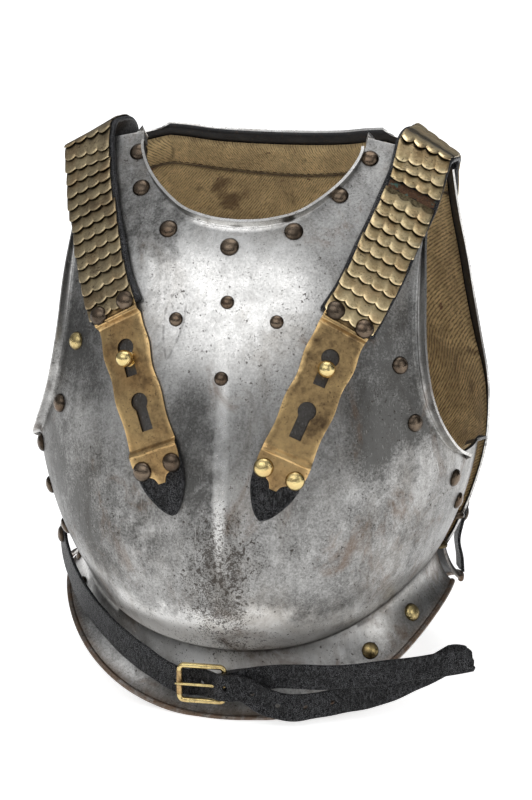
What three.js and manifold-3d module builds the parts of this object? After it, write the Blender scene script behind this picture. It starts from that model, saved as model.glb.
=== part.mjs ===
// A cavalry trooper's cuirass: a steel breastplate and backplate with canvas linings, two shoulder straps
// of scalloped brass scales that hook over brass studs by keyhole plates, and a buckled leather waist belt.
// Millimetres, +Z up, the chest faces -Y. Left and right are the wearer's, so the right side is at -X.
import * as THREE from "three";
import { mergeVertices } from "three/addons/utils/BufferGeometryUtils.js";
import Module from "manifold-3d";

const wasm = await Module();
wasm.setup();

// Driving sizes of the two plates
const plateHeight = 444;
const chestWidth = 360;
const breastDepth = 176;
const backDepth = 128;
const breastThickness = 2.2;
const backThickness = 1.6;
const seamGap = 7;
const waistHeight = 46;
const waistSpread = 27;
const sideSpread = 14;
const hipRise = 50;
const sideDrop = 28;
const ridgeHeight = 5;
const ridgeReach = 22;
const lipHeight = 7;
const lipReach = 2.2;
const sleeveLipHeight = 6.6;
const sleeveLipReach = 4.6;
const backLipHeight = 3.5;
const hemWidth = 1.4;
const rimRadius = 2.4;
const standingCut = 1;
const skirtTurn = 1.35;
const spreadPower = 1.35;
const hipPower = 2.3;

// How finely the plates are divided
const sideRows = 6;
const armRows = 8;
const shoulderColumns = 2;
const neckColumns = 12;
const skirtRows = 3;
const lipRows = 2;

// Clearances
const fitGap = 0.3;
const restGap = 0.5;
const cutOverrun = 4;
const weldDistance = 1e-4;

// Linings
const liningThickness = 3;
const liningGap = 0.8;
const liningMarginShare = 0.35;

// Lining rivets, fused with the plate that they hold
const rivetRadius = 7.2;
const rivetHeight = 4.3;
const crestRivetRadius = 5.4;
const crestRivetHeight = 3.8;

// Shoulder straps
const strapWidth = 47;
const strapThickness = 4;
const scaleWidth = 43;
const scaleLap = 4.2;
const scaleThickness = 0.8;
const scaleGap = 0.95;
const scallopDepth = 2.6;
const scallops = 4;
const frontScales = 14;
const rearScales = 4;
const missingScale = 4;
const bentScales = 3;
const shoulderGap = 0.6;
const shoulderBow = 5;
const edgeRise = 3.2;
const shoulderTilt = 0.42;
const strapDriftShare = 0.03;
const strapSamples = 24;
const rearAnchor = 8;
const rearBare = 20;

// Hook plates with their keyholes, studs and rivets
const hookLength = 134;
const hookRidge = 107;
const hookHalfWidth = 20.4;
const hookThickness = 1.2;
const hookTab = 19.5;
const hookStep = 4;
const keyRadius = 7.2;
const keySlotWidth = 9.8;
const keyLength = 23;
const keyPitch = 44;
const firstKey = 25;
const studRadius = 6.8;
const studShank = 3.8;
const studTravel = 9.4;
const studRise = 7.4;
const hookRivetRadius = 7.4;
const hookRivetHeight = 4.6;
const hookRivetShank = 2.4;
const hookRivetInset = 13;
const upperRivet = 7.2;
const lowerRivet = 121;
const tabThickness = 3;
const tabReach = 26;
const tabHalfWidth = 19;

// Waist belt and buckle
const beltWidth = 22;
const beltThickness = 2.6;
const beltRivetRadius = 7;
const beltHoleRadius = 1.9;
const beltHolePitch = 22;
const beltHoles = 6;
const pointLength = 12;
const pointShare = 0.16;
const chapeWidth = 20;
const hipGap = 0.6;
const hipTab = 24;
const hipRivet = 11;
const hipStandoff = 12;
const buckleLength = 36;
const buckleHeight = 29;
const buckleCorner = 4;
const buckleBar = 1.9;
const tongueRadius = 1.4;
const tongueSwing = 0.14;
const loopRadius = 4.6;

// Torn stub of a second strap at the backplate's side
const stubWidth = 20;
const stubRivet = 10;
const stubStandoff = 6;
const tearDepth = 3;

const steel = { color: 0xb9bcbe, roughness: 0.34, metalness: 1 };
const brass = { color: 0xa98748, roughness: 0.4, metalness: 1 };
const brightBrass = { color: 0xd8bb58, roughness: 0.24, metalness: 1 };
const bronze = { color: 0x6f5c4c, roughness: 0.4, metalness: 1 };
const leather = { color: 0x1b1b1e, roughness: 0.6, metalness: 0 };
const canvas = { color: 0x8c7146, roughness: 0.95, metalness: 0 };

const cuirass = new THREE.Group();
const clamp = THREE.MathUtils.clamp;
const smooth = THREE.MathUtils.smoothstep;
const quarterTurn = Math.PI / 2;

// A value read from a table of [share of the way, share of the size] rows, smooth between the rows.
function along(shares, way) {
  let i = 0;
  while (i < shares.length - 2 && way > shares[i + 1][0]) i++;
  const at = (k) => shares[clamp(k, 0, shares.length - 1)];
  const [x0, y0] = at(i);
  const [x1, y1] = at(i + 1);
  const slope = (k) => {
    const [xa, ya] = at(k - 1);
    const [xb, yb] = at(k + 1);
    return (yb - ya) / (xb - xa);
  };
  const t = (way - x0) / (x1 - x0);
  const span = x1 - x0;
  const t2 = t * t;
  const t3 = t2 * t;
  const start = (2 * t3 - 3 * t2 + 1) * y0 + (t3 - 2 * t2 + t) * span * slope(i);
  return start + (3 * t2 - 2 * t3) * y1 + (t3 - t2) * span * slope(i + 1);
}

function solidOf(geometry) {
  const bare = geometry.clone();
  bare.deleteAttribute("normal");
  bare.deleteAttribute("uv");
  const merged = mergeVertices(bare, weldDistance);
  const vertProperties = merged.getAttribute("position").array;
  const triVerts = new Uint32Array(merged.index.array);
  return new wasm.Manifold(new wasm.Mesh({ numProp: 3, vertProperties, triVerts }));
}

function geometryOf(solid) {
  const mesh = solid.getMesh();
  const geometry = new THREE.BufferGeometry();
  geometry.setAttribute("position", new THREE.BufferAttribute(new Float32Array(mesh.vertProperties), 3));
  geometry.setIndex(new THREE.BufferAttribute(new Uint32Array(mesh.triVerts), 1));
  geometry.computeVertexNormals();
  return geometry;
}

function addPiece(name, geometry, finish) {
  const mesh = new THREE.Mesh(geometry, new THREE.MeshStandardMaterial(finish));
  mesh.name = name;
  cuirass.add(mesh);
  return mesh;
}

// The outward normal at each point of a grid whose rows run from -X to +X and whose columns run upwards.
function normalAt(rows, j, i) {
  const row = rows[j];
  const across = row[Math.min(i + 1, row.length - 1)].clone().sub(row[Math.max(i - 1, 0)]);
  const up = rows[Math.min(j + 1, rows.length - 1)][i].clone().sub(rows[Math.max(j - 1, 0)][i]);
  return across.cross(up).normalize();
}

// A closed sheet between two grids of the same size, the first on its outer side.
function sheetBetween(outer, inner) {
  const height = outer.length;
  const width = outer[0].length;
  const positions = [...outer.flat(), ...inner.flat()].flatMap((p) => [p.x, p.y, p.z]);
  const faces = [];
  const outerAt = (j, i) => j * width + i;
  const innerAt = (j, i) => height * width + j * width + i;
  const quad = (a, b, c, d) => faces.push(a, b, c, a, c, d);
  for (let j = 0; j < height - 1; j++) {
    for (let i = 0; i < width - 1; i++) {
      if (i < (width - 1) / 2) {
        quad(outerAt(j, i + 1), outerAt(j + 1, i + 1), outerAt(j + 1, i), outerAt(j, i));
        quad(innerAt(j + 1, i), innerAt(j + 1, i + 1), innerAt(j, i + 1), innerAt(j, i));
      } else {
        quad(outerAt(j, i), outerAt(j, i + 1), outerAt(j + 1, i + 1), outerAt(j + 1, i));
        quad(innerAt(j, i), innerAt(j + 1, i), innerAt(j + 1, i + 1), innerAt(j, i + 1));
      }
    }
    quad(outerAt(j, 0), outerAt(j + 1, 0), innerAt(j + 1, 0), innerAt(j, 0));
    const last = width - 1;
    quad(outerAt(j, last), innerAt(j, last), innerAt(j + 1, last), outerAt(j + 1, last));
  }
  for (let i = 0; i < width - 1; i++) {
    quad(outerAt(0, i), innerAt(0, i), innerAt(0, i + 1), outerAt(0, i + 1));
    const top = height - 1;
    quad(outerAt(top, i), outerAt(top, i + 1), innerAt(top, i + 1), innerAt(top, i));
  }
  const geometry = new THREE.BufferGeometry();
  geometry.setAttribute("position", new THREE.Float32BufferAttribute(positions, 3));
  geometry.setIndex(faces);
  return geometry;
}

// The same grid moved along its outward normals.
function lifted(rows, distance) {
  return rows.map((row, j) => row.map((p, i) => p.clone().addScaledVector(normalAt(rows, j, i), distance)));
}

// Plates. A plate's section at each height is a squared half ellipse from side edge to side edge. Widths
// and depths are shares of the chest's half width and the plate's depth, heights of the plate's height.
const squareness = 0.9;
const fullnessShares = [[0, 1.06], [0.12, 1.04], [0.3, 0.92], [0.5, 0.84], [1, 0.84]];
const breast = {
  facing: -1,
  depth: breastDepth,
  thickness: breastThickness,
  sideOffset: 0,
  widthShares: [
    [0, 0.74], [0.1, 0.745], [0.2, 0.8], [0.25, 0.865], [0.32, 0.935], [0.4, 0.985],
    [0.46, 1], [0.57, 0.99], [0.72, 0.955], [0.86, 0.925], [1, 0.91],
  ],
  depthShares: [
    [0, 0.74], [0.1, 0.75], [0.18, 0.9], [0.27, 0.985], [0.35, 1],
    [0.5, 0.95], [0.66, 0.85], [0.8, 0.7], [0.9, 0.52], [1, 0.3],
  ],
  sideShares: [[0, 0], [0.5, 0], [0.78, 0.04], [1, 0.1]],
  ridgeShares: [[0, 0.3], [0.12, 0.5], [0.3, 1], [0.6, 0.7], [0.8, 0.1], [1, 0]],
  armCorner: 0.435,
  armShares: [[0.95, 0.448], [0.88, 0.495], [0.81, 0.57], [0.768, 0.67], [0.758, 0.79], [0.775, 0.875]],
  shoulderShares: [[0.815, 0.95], [0.66, 0.98], [0.5, 0.995]],
  neckShares: [[0.48, 0.957], [0.41, 0.918], [0.27, 0.877], [0.13, 0.861], [0, 0.857]],
  lip: [lipReach, lipHeight],
  sleeveLip: [sleeveLipReach, sleeveLipHeight],
};
const back = {
  facing: 1,
  depth: backDepth,
  thickness: backThickness,
  sideOffset: seamGap,
  widthShares: [
    [0, 0.77], [0.1, 0.775], [0.2, 0.835], [0.25, 0.9], [0.32, 0.97], [0.4, 1.025],
    [0.46, 1.04], [0.57, 1.03], [0.72, 0.98], [0.86, 0.9], [1, 0.84],
  ],
  depthShares: [
    [0, 0.66], [0.1, 0.66], [0.2, 0.74], [0.4, 0.9], [0.6, 1], [0.78, 0.97], [0.9, 0.8], [1, 0.55],
  ],
  sideShares: [[0, 0], [0.6, 0], [0.8, -0.05], [1, -0.1]],
  ridgeShares: [[0, 0], [0.5, 0], [1, 0]],
  armCorner: 0.42,
  armShares: [[1.035, 0.5], [0.985, 0.58], [0.93, 0.68], [0.885, 0.79], [0.858, 0.865]],
  shoulderShares: [[0.845, 0.922], [0.68, 0.953], [0.5, 0.972]],
  neckShares: [[0.42, 0.968], [0.3, 0.96], [0.15, 0.956], [0, 0.955]],
  lip: [hemWidth, backLipHeight],
  sleeveLip: [hemWidth, 0],
};

// The point of a plate's outer face at an angle round the body and a height.
function platePoint(plate, angle, z) {
  const way = clamp(z / plateHeight, 0, 1);
  const halfWidth = (chestWidth / 2) * along(plate.widthShares, way);
  const depth = plate.depth * along(plate.depthShares, way);
  const side = plate.sideOffset + plate.depth * along(plate.sideShares, way);
  const x = halfWidth * Math.sign(angle) * Math.abs(Math.sin(angle)) ** squareness;
  const ridge = ridgeHeight * along(plate.ridgeShares, way) * Math.exp(-Math.abs(x) / ridgeReach);
  const reach = depth * Math.abs(Math.cos(angle)) ** along(fullnessShares, way) + ridge;
  return new THREE.Vector3(x, plate.facing * (reach + plate.facing * side), z);
}

function angleAt(plate, x, z) {
  const halfWidth = (chestWidth / 2) * along(plate.widthShares, clamp(z / plateHeight, 0, 1));
  return Math.sign(x) * Math.asin(clamp(Math.abs(x) / halfWidth, 0, 1) ** (1 / squareness));
}

const surfaceStep = chestWidth / 500;

// A point on a plate's outer face by its place in the front view, with its outward normal.
function onPlate(plate, x, z) {
  const at = (px, pz) => platePoint(plate, angleAt(plate, px, pz), pz);
  const across = at(x + surfaceStep, z).sub(at(x - surfaceStep, z));
  const up = at(x, z + surfaceStep).sub(at(x, z - surfaceStep));
  const normal = across.cross(up).normalize().multiplyScalar(-plate.facing);
  return { point: at(x, z), normal };
}

const hipWay = (angle) => Math.abs(Math.sin(clamp(angle, -quarterTurn, quarterTurn))) ** hipPower;
const waistLine = (angle) => waistHeight + hipRise * hipWay(angle);

// The plate's outline as a four-sided patch in angle and height, filled by blending its four sides.
function patchOf(plate) {
  const place = ([xShare, zShare]) => {
    const z = plateHeight * zShare;
    const x = (chestWidth / 2) * xShare;
    return new THREE.Vector2(angleAt(plate, x, z), z);
  };
  const corner = new THREE.Vector2(quarterTurn, plateHeight * plate.armCorner);
  const shoulder = plate.shoulderShares.map(place);
  const armHole = new THREE.SplineCurve([corner, ...plate.armShares.map(place), shoulder[0]]);
  const shoulderEnd = new THREE.SplineCurve(shoulder);
  const neck = new THREE.SplineCurve([shoulder.at(-1), ...plate.neckShares.map(place)]);
  const side = (t) => {
    const turn = sideRows / (sideRows + armRows);
    if (t > turn) return armHole.getPoint((t - turn) / (1 - turn));
    const base = waistLine(quarterTurn);
    return new THREE.Vector2(quarterTurn, base + (t / turn) * (corner.y - base));
  };
  const top = (s) => {
    const half = Math.abs(2 * s - 1);
    const turn = neckColumns / (neckColumns + 2 * shoulderColumns);
    const found = half > turn
      ? shoulderEnd.getPoint(1 - (half - turn) / (1 - turn))
      : neck.getPoint(1 - half / turn);
    return new THREE.Vector2(s < 0.5 ? -found.x : found.x, found.y);
  };
  return (s, t) => {
    const angle = (2 * s - 1) * quarterTurn;
    const right = side(t);
    const ends = new THREE.Vector2(side(0).x * (1 - t) + side(1).x * t, side(0).y * (1 - t) + side(1).y * t);
    const over = top(s);
    const x = (1 - t) * angle + t * over.x + (2 * s - 1) * (right.x - ends.x);
    const y = (1 - t) * waistLine(angle) + t * over.y + right.y - ends.y;
    return platePoint(plate, x, y);
  };
}

// New points beyond one edge point: outwards in the sheet by the reach and out of it by the rise.
function turnedEdge(edge, inside, normal, steps, reach, rise) {
  const outwards = edge.clone().sub(inside);
  outwards.addScaledVector(normal, -outwards.dot(normal)).normalize();
  return Array.from({ length: steps }, (_, k) => {
    const way = (k + 1) / steps;
    return edge.clone()
      .addScaledVector(outwards, reach * Math.sin(way * quarterTurn))
      .addScaledVector(normal, rise * (1 - Math.cos(way * quarterTurn)));
  });
}

// The whole outer face: the patch, the flared skirt below the waist and the turned lips round neck and arms.
function plateGrid(plate) {
  const patch = patchOf(plate);
  const columns = 2 * shoulderColumns + neckColumns;
  const rowCount = sideRows + armRows;
  const rows = [];
  for (let j = 0; j <= rowCount; j++) {
    rows.push(Array.from({ length: columns + 1 }, (_, i) => patch(i / columns, j / rowCount)));
  }
  const facing = -plate.facing;
  const waist = rows[0].map((p, i) => {
    const outwards = normalAt(rows, 0, i).multiplyScalar(facing).setZ(0).normalize();
    return { p, outwards, hip: hipWay((2 * i / columns - 1) * quarterTurn) };
  });
  for (let k = 1; k <= skirtRows; k++) {
    const way = k / skirtRows;
    const fall = Math.sin(way * skirtTurn) / Math.sin(skirtTurn);
    rows.unshift(waist.map(({ p, outwards, hip }) => {
      const spread = waistSpread + (sideSpread - waistSpread) * hip;
      const drop = waistHeight - rimRadius + standingCut + (sideDrop - waistHeight) * hip;
      return p.clone().addScaledVector(outwards, spread * way ** spreadPower).setZ(p.z - drop * fall);
    }));
  }
  const upper = rows.length - 1;
  const topEdge = rows[upper].map((p, i) => {
    const onNeck = i >= shoulderColumns && i <= columns - shoulderColumns;
    const [reach, rise] = onNeck ? plate.lip : [hemWidth, 0];
    const normal = normalAt(rows, upper, i).multiplyScalar(facing);
    return turnedEdge(p, rows[upper - 1][i], normal, lipRows, reach, rise);
  });
  for (let k = 0; k < lipRows; k++) rows.push(topEdge.map((edge) => edge[k]));
  const armStart = skirtRows + sideRows;
  const sideEdges = rows.map((row, j) => {
    const way = clamp((j - armStart) / armRows, 0, 1);
    const fade = j < armStart ? 0 : 1 - smooth(way, 0.62, 0.9);
    const reach = hemWidth + (plate.sleeveLip[0] - hemWidth) * fade;
    return [[0, 1], [row.length - 1, row.length - 2]].map(([edge, inside]) => {
      const normal = normalAt(rows, j, edge).multiplyScalar(facing);
      return turnedEdge(row[edge], row[inside], normal, lipRows, reach, plate.sleeveLip[1] * fade);
    });
  });
  return rows.map((row, j) => [...sideEdges[j][0].toReversed(), ...row, ...sideEdges[j][1]]);
}

// A closed tube of given radius along a row of points, with a flat cap at each end, or joined end to end.
function tubeAlong(points, radius, sides, closed) {
  const count = points.length;
  const at = (k) => points[closed ? (k + count) % count : clamp(k, 0, count - 1)];
  const positions = [];
  let side = null;
  points.forEach((p, k) => {
    const along = at(k + 1).clone().sub(at(k - 1)).normalize();
    if (!side) side = new THREE.Vector3(0, 0, 1);
    side = side.clone().addScaledVector(along, -side.dot(along)).normalize();
    const other = along.clone().cross(side);
    for (let i = 0; i < sides; i++) {
      const turn = 4 * quarterTurn * i / sides;
      const q = p.clone().addScaledVector(side, radius * Math.cos(turn));
      q.addScaledVector(other, radius * Math.sin(turn));
      positions.push(q.x, q.y, q.z);
    }
  });
  const faces = [];
  const steps = closed ? count : count - 1;
  for (let k = 0; k < steps; k++) {
    for (let i = 0; i < sides; i++) {
      const a = k * sides + i;
      const b = k * sides + (i + 1) % sides;
      const c = ((k + 1) % count) * sides + (i + 1) % sides;
      const d = ((k + 1) % count) * sides + i;
      faces.push(a, b, c, a, c, d);
    }
  }
  for (let i = 1; !closed && i < sides - 1; i++) {
    const last = (count - 1) * sides;
    faces.push(0, i + 1, i, last, last + i, last + i + 1);
  }
  const geometry = new THREE.BufferGeometry();
  geometry.setAttribute("position", new THREE.Float32BufferAttribute(positions, 3));
  geometry.setIndex(faces);
  return geometry;
}

// A plate is its sheet with a rolled rim, cut flat where it stands. The grid runs the other way round at
// the back, so the two faces change places there.
function plateSolid(plate) {
  const outer = plateGrid(plate);
  const inner = lifted(outer, plate.facing * plate.thickness);
  const sheet = solidOf(plate.facing < 0 ? sheetBetween(outer, inner) : sheetBetween(inner, outer));
  const rimPoints = outer[0].map((p, i) => p.clone().lerp(inner[0][i], 0.5));
  const rim = solidOf(tubeAlong(rimPoints, rimRadius, 6, false));
  return sheet.add(rim).trimByPlane([0, 0, 1], 0);
}

// A turned piece from a profile of [radius, height] pairs, standing on a point along a normal.
function turned(profile, point, normal, segments = 8) {
  const geometry = new THREE.LatheGeometry(profile.map(([r, h]) => new THREE.Vector2(r, h)), segments);
  geometry.applyQuaternion(new THREE.Quaternion().setFromUnitVectors(new THREE.Vector3(0, 1, 0), normal));
  geometry.translate(point.x, point.y, point.z);
  return geometry;
}

const domeShares = [[0.78, 0.66]];

function domeProfile(radius, height, root) {
  const rim = domeShares.map(([r, h]) => [radius * r, height * h]);
  return [[0, root], [radius, root], ...rim, [0, height]];
}

// Rivet places in the front view, as shares of the half width and the height.
const breastRivetShares = [
  [0.277, 0.833], [0.465, 0.896], [0.54, 0.96], [0.735, 0.617], [0.81, 0.49],
  [0.935, 0.405], [0.885, 0.318], [0.79, 0.235],
];
const breastMiddleShares = [[0, 0.811]];
const crestShares = [[0, 0.743], [0, 0.61], [-0.22, 0.716], [0.22, 0.716]];
const backRivetShares = [
  [0.16, 0.91], [0.36, 0.918], [0.54, 0.93], [0.74, 0.66], [0.93, 0.47],
  [0.95, 0.385], [0.92, 0.3], [0.8, 0.22],
];

function withRivets(plate, solid, mirrored, single, small) {
  const rivet = ([xShare, zShare], radius, height) => {
    const { point, normal } = onPlate(plate, (chestWidth / 2) * xShare, plateHeight * zShare);
    return solidOf(turned(domeProfile(radius, height, -plate.thickness), point, normal));
  };
  const both = mirrored.flatMap(([x, z]) => [[x, z], [-x, z]]);
  return [
    ...[...both, ...single].map((place) => rivet(place, rivetRadius, rivetHeight)),
    ...small.map((place) => rivet(place, crestRivetRadius, crestRivetHeight)),
  ].reduce((whole, head) => whole.add(head), solid);
}

// A rivet that is closed over leather: a shank from inside the plate and a dome on the leather's face.
function leatherRivet({ point, out }, foot) {
  const head = domeProfile(beltRivetRadius, rivetHeight, 0).slice(1);
  const profile = [[0, foot], [hookRivetShank, foot], [hookRivetShank, 0], ...head];
  return solidOf(turned(profile, point, out));
}

function makePlates() {
  const hip = billet.frame(hipRivet);
  const stubFrame = stubPath.frame(stubRivet);
  const overHip = { point: placeOn(hip, 0, beltThickness + fitGap), out: hip.out };
  const overStub = { point: placeOn(stubFrame, 0, restGap + beltThickness + fitGap), out: stubFrame.out };
  const front = withRivets(breast, plateSolid(breast), breastRivetShares, breastMiddleShares, crestShares)
    .add(leatherRivet(overHip, -hipStandoff));
  const rear = withRivets(back, plateSolid(back), backRivetShares, [], [])
    .add(leatherRivet(overStub, -stubStandoff));
  addPiece("breastplate", geometryOf(front), steel);
  addPiece("backplate", geometryOf(rear), steel);
}

// The part of a plate's grid that a lining covers: all but the skirt and the lips, short of every edge.
function liningPart(rows) {
  const inset = (list, mix) => {
    const low = mix(list[0], list[1], liningMarginShare);
    const high = mix(list.at(-1), list.at(-2), liningMarginShare);
    return [low, ...list.slice(1, -1), high];
  };
  const mixPoints = (a, b, share) => a.clone().lerp(b, share);
  const mixRows = (a, b, share) => a.map((p, i) => mixPoints(p, b[i], share));
  const covered = rows.slice(skirtRows, -lipRows)
    .map((row) => inset(row.slice(lipRows, -lipRows), mixPoints));
  return inset(covered, mixRows);
}

function makeLining(name, plate) {
  const outer = plateGrid(plate);
  const depth = plate.thickness + liningGap;
  const nearSide = liningPart(lifted(outer, plate.facing * depth));
  const farSide = liningPart(lifted(outer, plate.facing * (depth + liningThickness)));
  const sheet = plate.facing < 0 ? sheetBetween(nearSide, farSide) : sheetBetween(farSide, nearSide);
  addPiece(name, geometryOf(solidOf(sheet)), canvas);
}

// A path through places with outward normals. Its frame gives the point, the way on, out and across.
function pathThrough(places) {
  const curve = new THREE.CatmullRomCurve3(places.map(({ point }) => point));
  const normals = new THREE.CatmullRomCurve3(places.map(({ normal }) => normal));
  const length = curve.getLength();
  const frame = (distance) => {
    const t = curve.getUtoTmapping(clamp(distance / length, 0, 1));
    const ahead = curve.getTangent(t);
    const out = normals.getPoint(t);
    out.addScaledVector(ahead, -out.dot(ahead)).normalize();
    return { point: curve.getPoint(t), ahead, out, across: ahead.clone().cross(out) };
  };
  return { length, frame };
}

function placeOn({ point, out, across }, sideways, lift) {
  return point.clone().addScaledVector(across, sideways).addScaledVector(out, lift);
}

// A band on a path: stations along it, half widths and lifts as functions of the station.
function band(path, stations, columns, halfWidth, lift, thickness, endShift = () => 0) {
  const grid = (extra) => stations.map((d, j) => Array.from({ length: columns + 1 }, (_, i) => {
    const share = 2 * i / columns - 1;
    const frame = path.frame(d + endShift(j, share));
    return placeOn(frame, share * halfWidth(d), lift(d) + extra);
  }));
  return solidOf(sheetBetween(grid(thickness), grid(0)));
}

const steps = (from, to, count) => (
  Array.from({ length: count + 1 }, (_, k) => from + (to - from) * k / count)
);

// The strap's way in the front view, as shares of the half width and the height, from the shoulder down.
const strapShares = [
  [0.722, 0.932], [0.702, 0.9], [0.652, 0.846], [0.597, 0.787], [0.55, 0.743], [0.49, 0.696],
  [0.43, 0.63], [0.35, 0.546], [0.27, 0.462], [0.2, 0.385],
];
const rearStrapShares = [[0.72, 0.84], [0.73, 0.87], [0.74, 0.9]];
const shoulderTops = { breast: [0.735, 0.965], back: [0.74, 0.943] };
function strapPath(side) {
  const drift = side > 0 ? strapDriftShare : 0;
  const front = new THREE.SplineCurve(strapShares.map(([x, z], k) => (
    new THREE.Vector2(x - drift * k / (strapShares.length - 1), z)
  )));
  const rear = rearStrapShares.map(([x, z]) => onPlate(back, side * x * chestWidth / 2, z * plateHeight));
  const chest = front.getSpacedPoints(strapSamples).map(({ x, y: z }) => (
    onPlate(breast, side * x * chestWidth / 2, z * plateHeight)
  ));
  const upwards = new THREE.Vector3(side * Math.sin(shoulderTilt), 0, Math.cos(shoulderTilt));
  const overEdge = (plate, [x, z]) => {
    const { point, normal } = onPlate(plate, side * x * chestWidth / 2, z * plateHeight);
    return { point: point.addScaledVector(upwards, edgeRise), normal: normal.add(upwards).normalize() };
  };
  const first = overEdge(breast, shoulderTops.breast);
  const last = overEdge(back, shoulderTops.back);
  const top = {
    point: last.point.clone().lerp(first.point, 0.5).addScaledVector(upwards, shoulderBow),
    normal: last.normal.clone().add(first.normal).normalize(),
  };
  return pathThrough([...rear, last, top, first, ...chest]);
}

// The distance along a strap's path at which it turns over the shoulder.
function turnOf(path) {
  const heights = steps(0, path.length / 2, 400).map((d) => [path.frame(d).point.z, d]);
  return heights.reduce((best, found) => (found[0] > best[0] ? found : best))[1];
}

function boreAt(path, distance, sideways, radius, segments = 8) {
  const frame = path.frame(distance);
  const reach = strapThickness + 2 * cutOverrun;
  const foot = placeOn(frame, sideways, -cutOverrun);
  return solidOf(turned([[0, 0], [radius, 0], [radius, reach], [0, reach]], foot, frame.out, segments));
}

// A keyhole: the round hole that the stud's head passes, and the square slot below it that holds its neck.
function keyholeAt(path, distance) {
  const round = boreAt(path, distance, 0, keyRadius, 12);
  const low = -cutOverrun;
  const high = strapThickness + cutOverrun;
  const slotEnds = [distance, distance + keyLength];
  const slot = band(path, slotEnds, 1, () => keySlotWidth / 2, () => low, high - low);
  return round.add(slot);
}

const hookWidthShares = [
  [0, 0.97], [0.08, 0.95], [0.2, 1.02], [0.34, 0.92], [0.48, 1], [0.64, 0.93], [0.8, 1], [0.86, 1],
  [0.9, 0.93], [0.93, 0.72], [0.96, 0.3], [1, 0.14],
];

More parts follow.
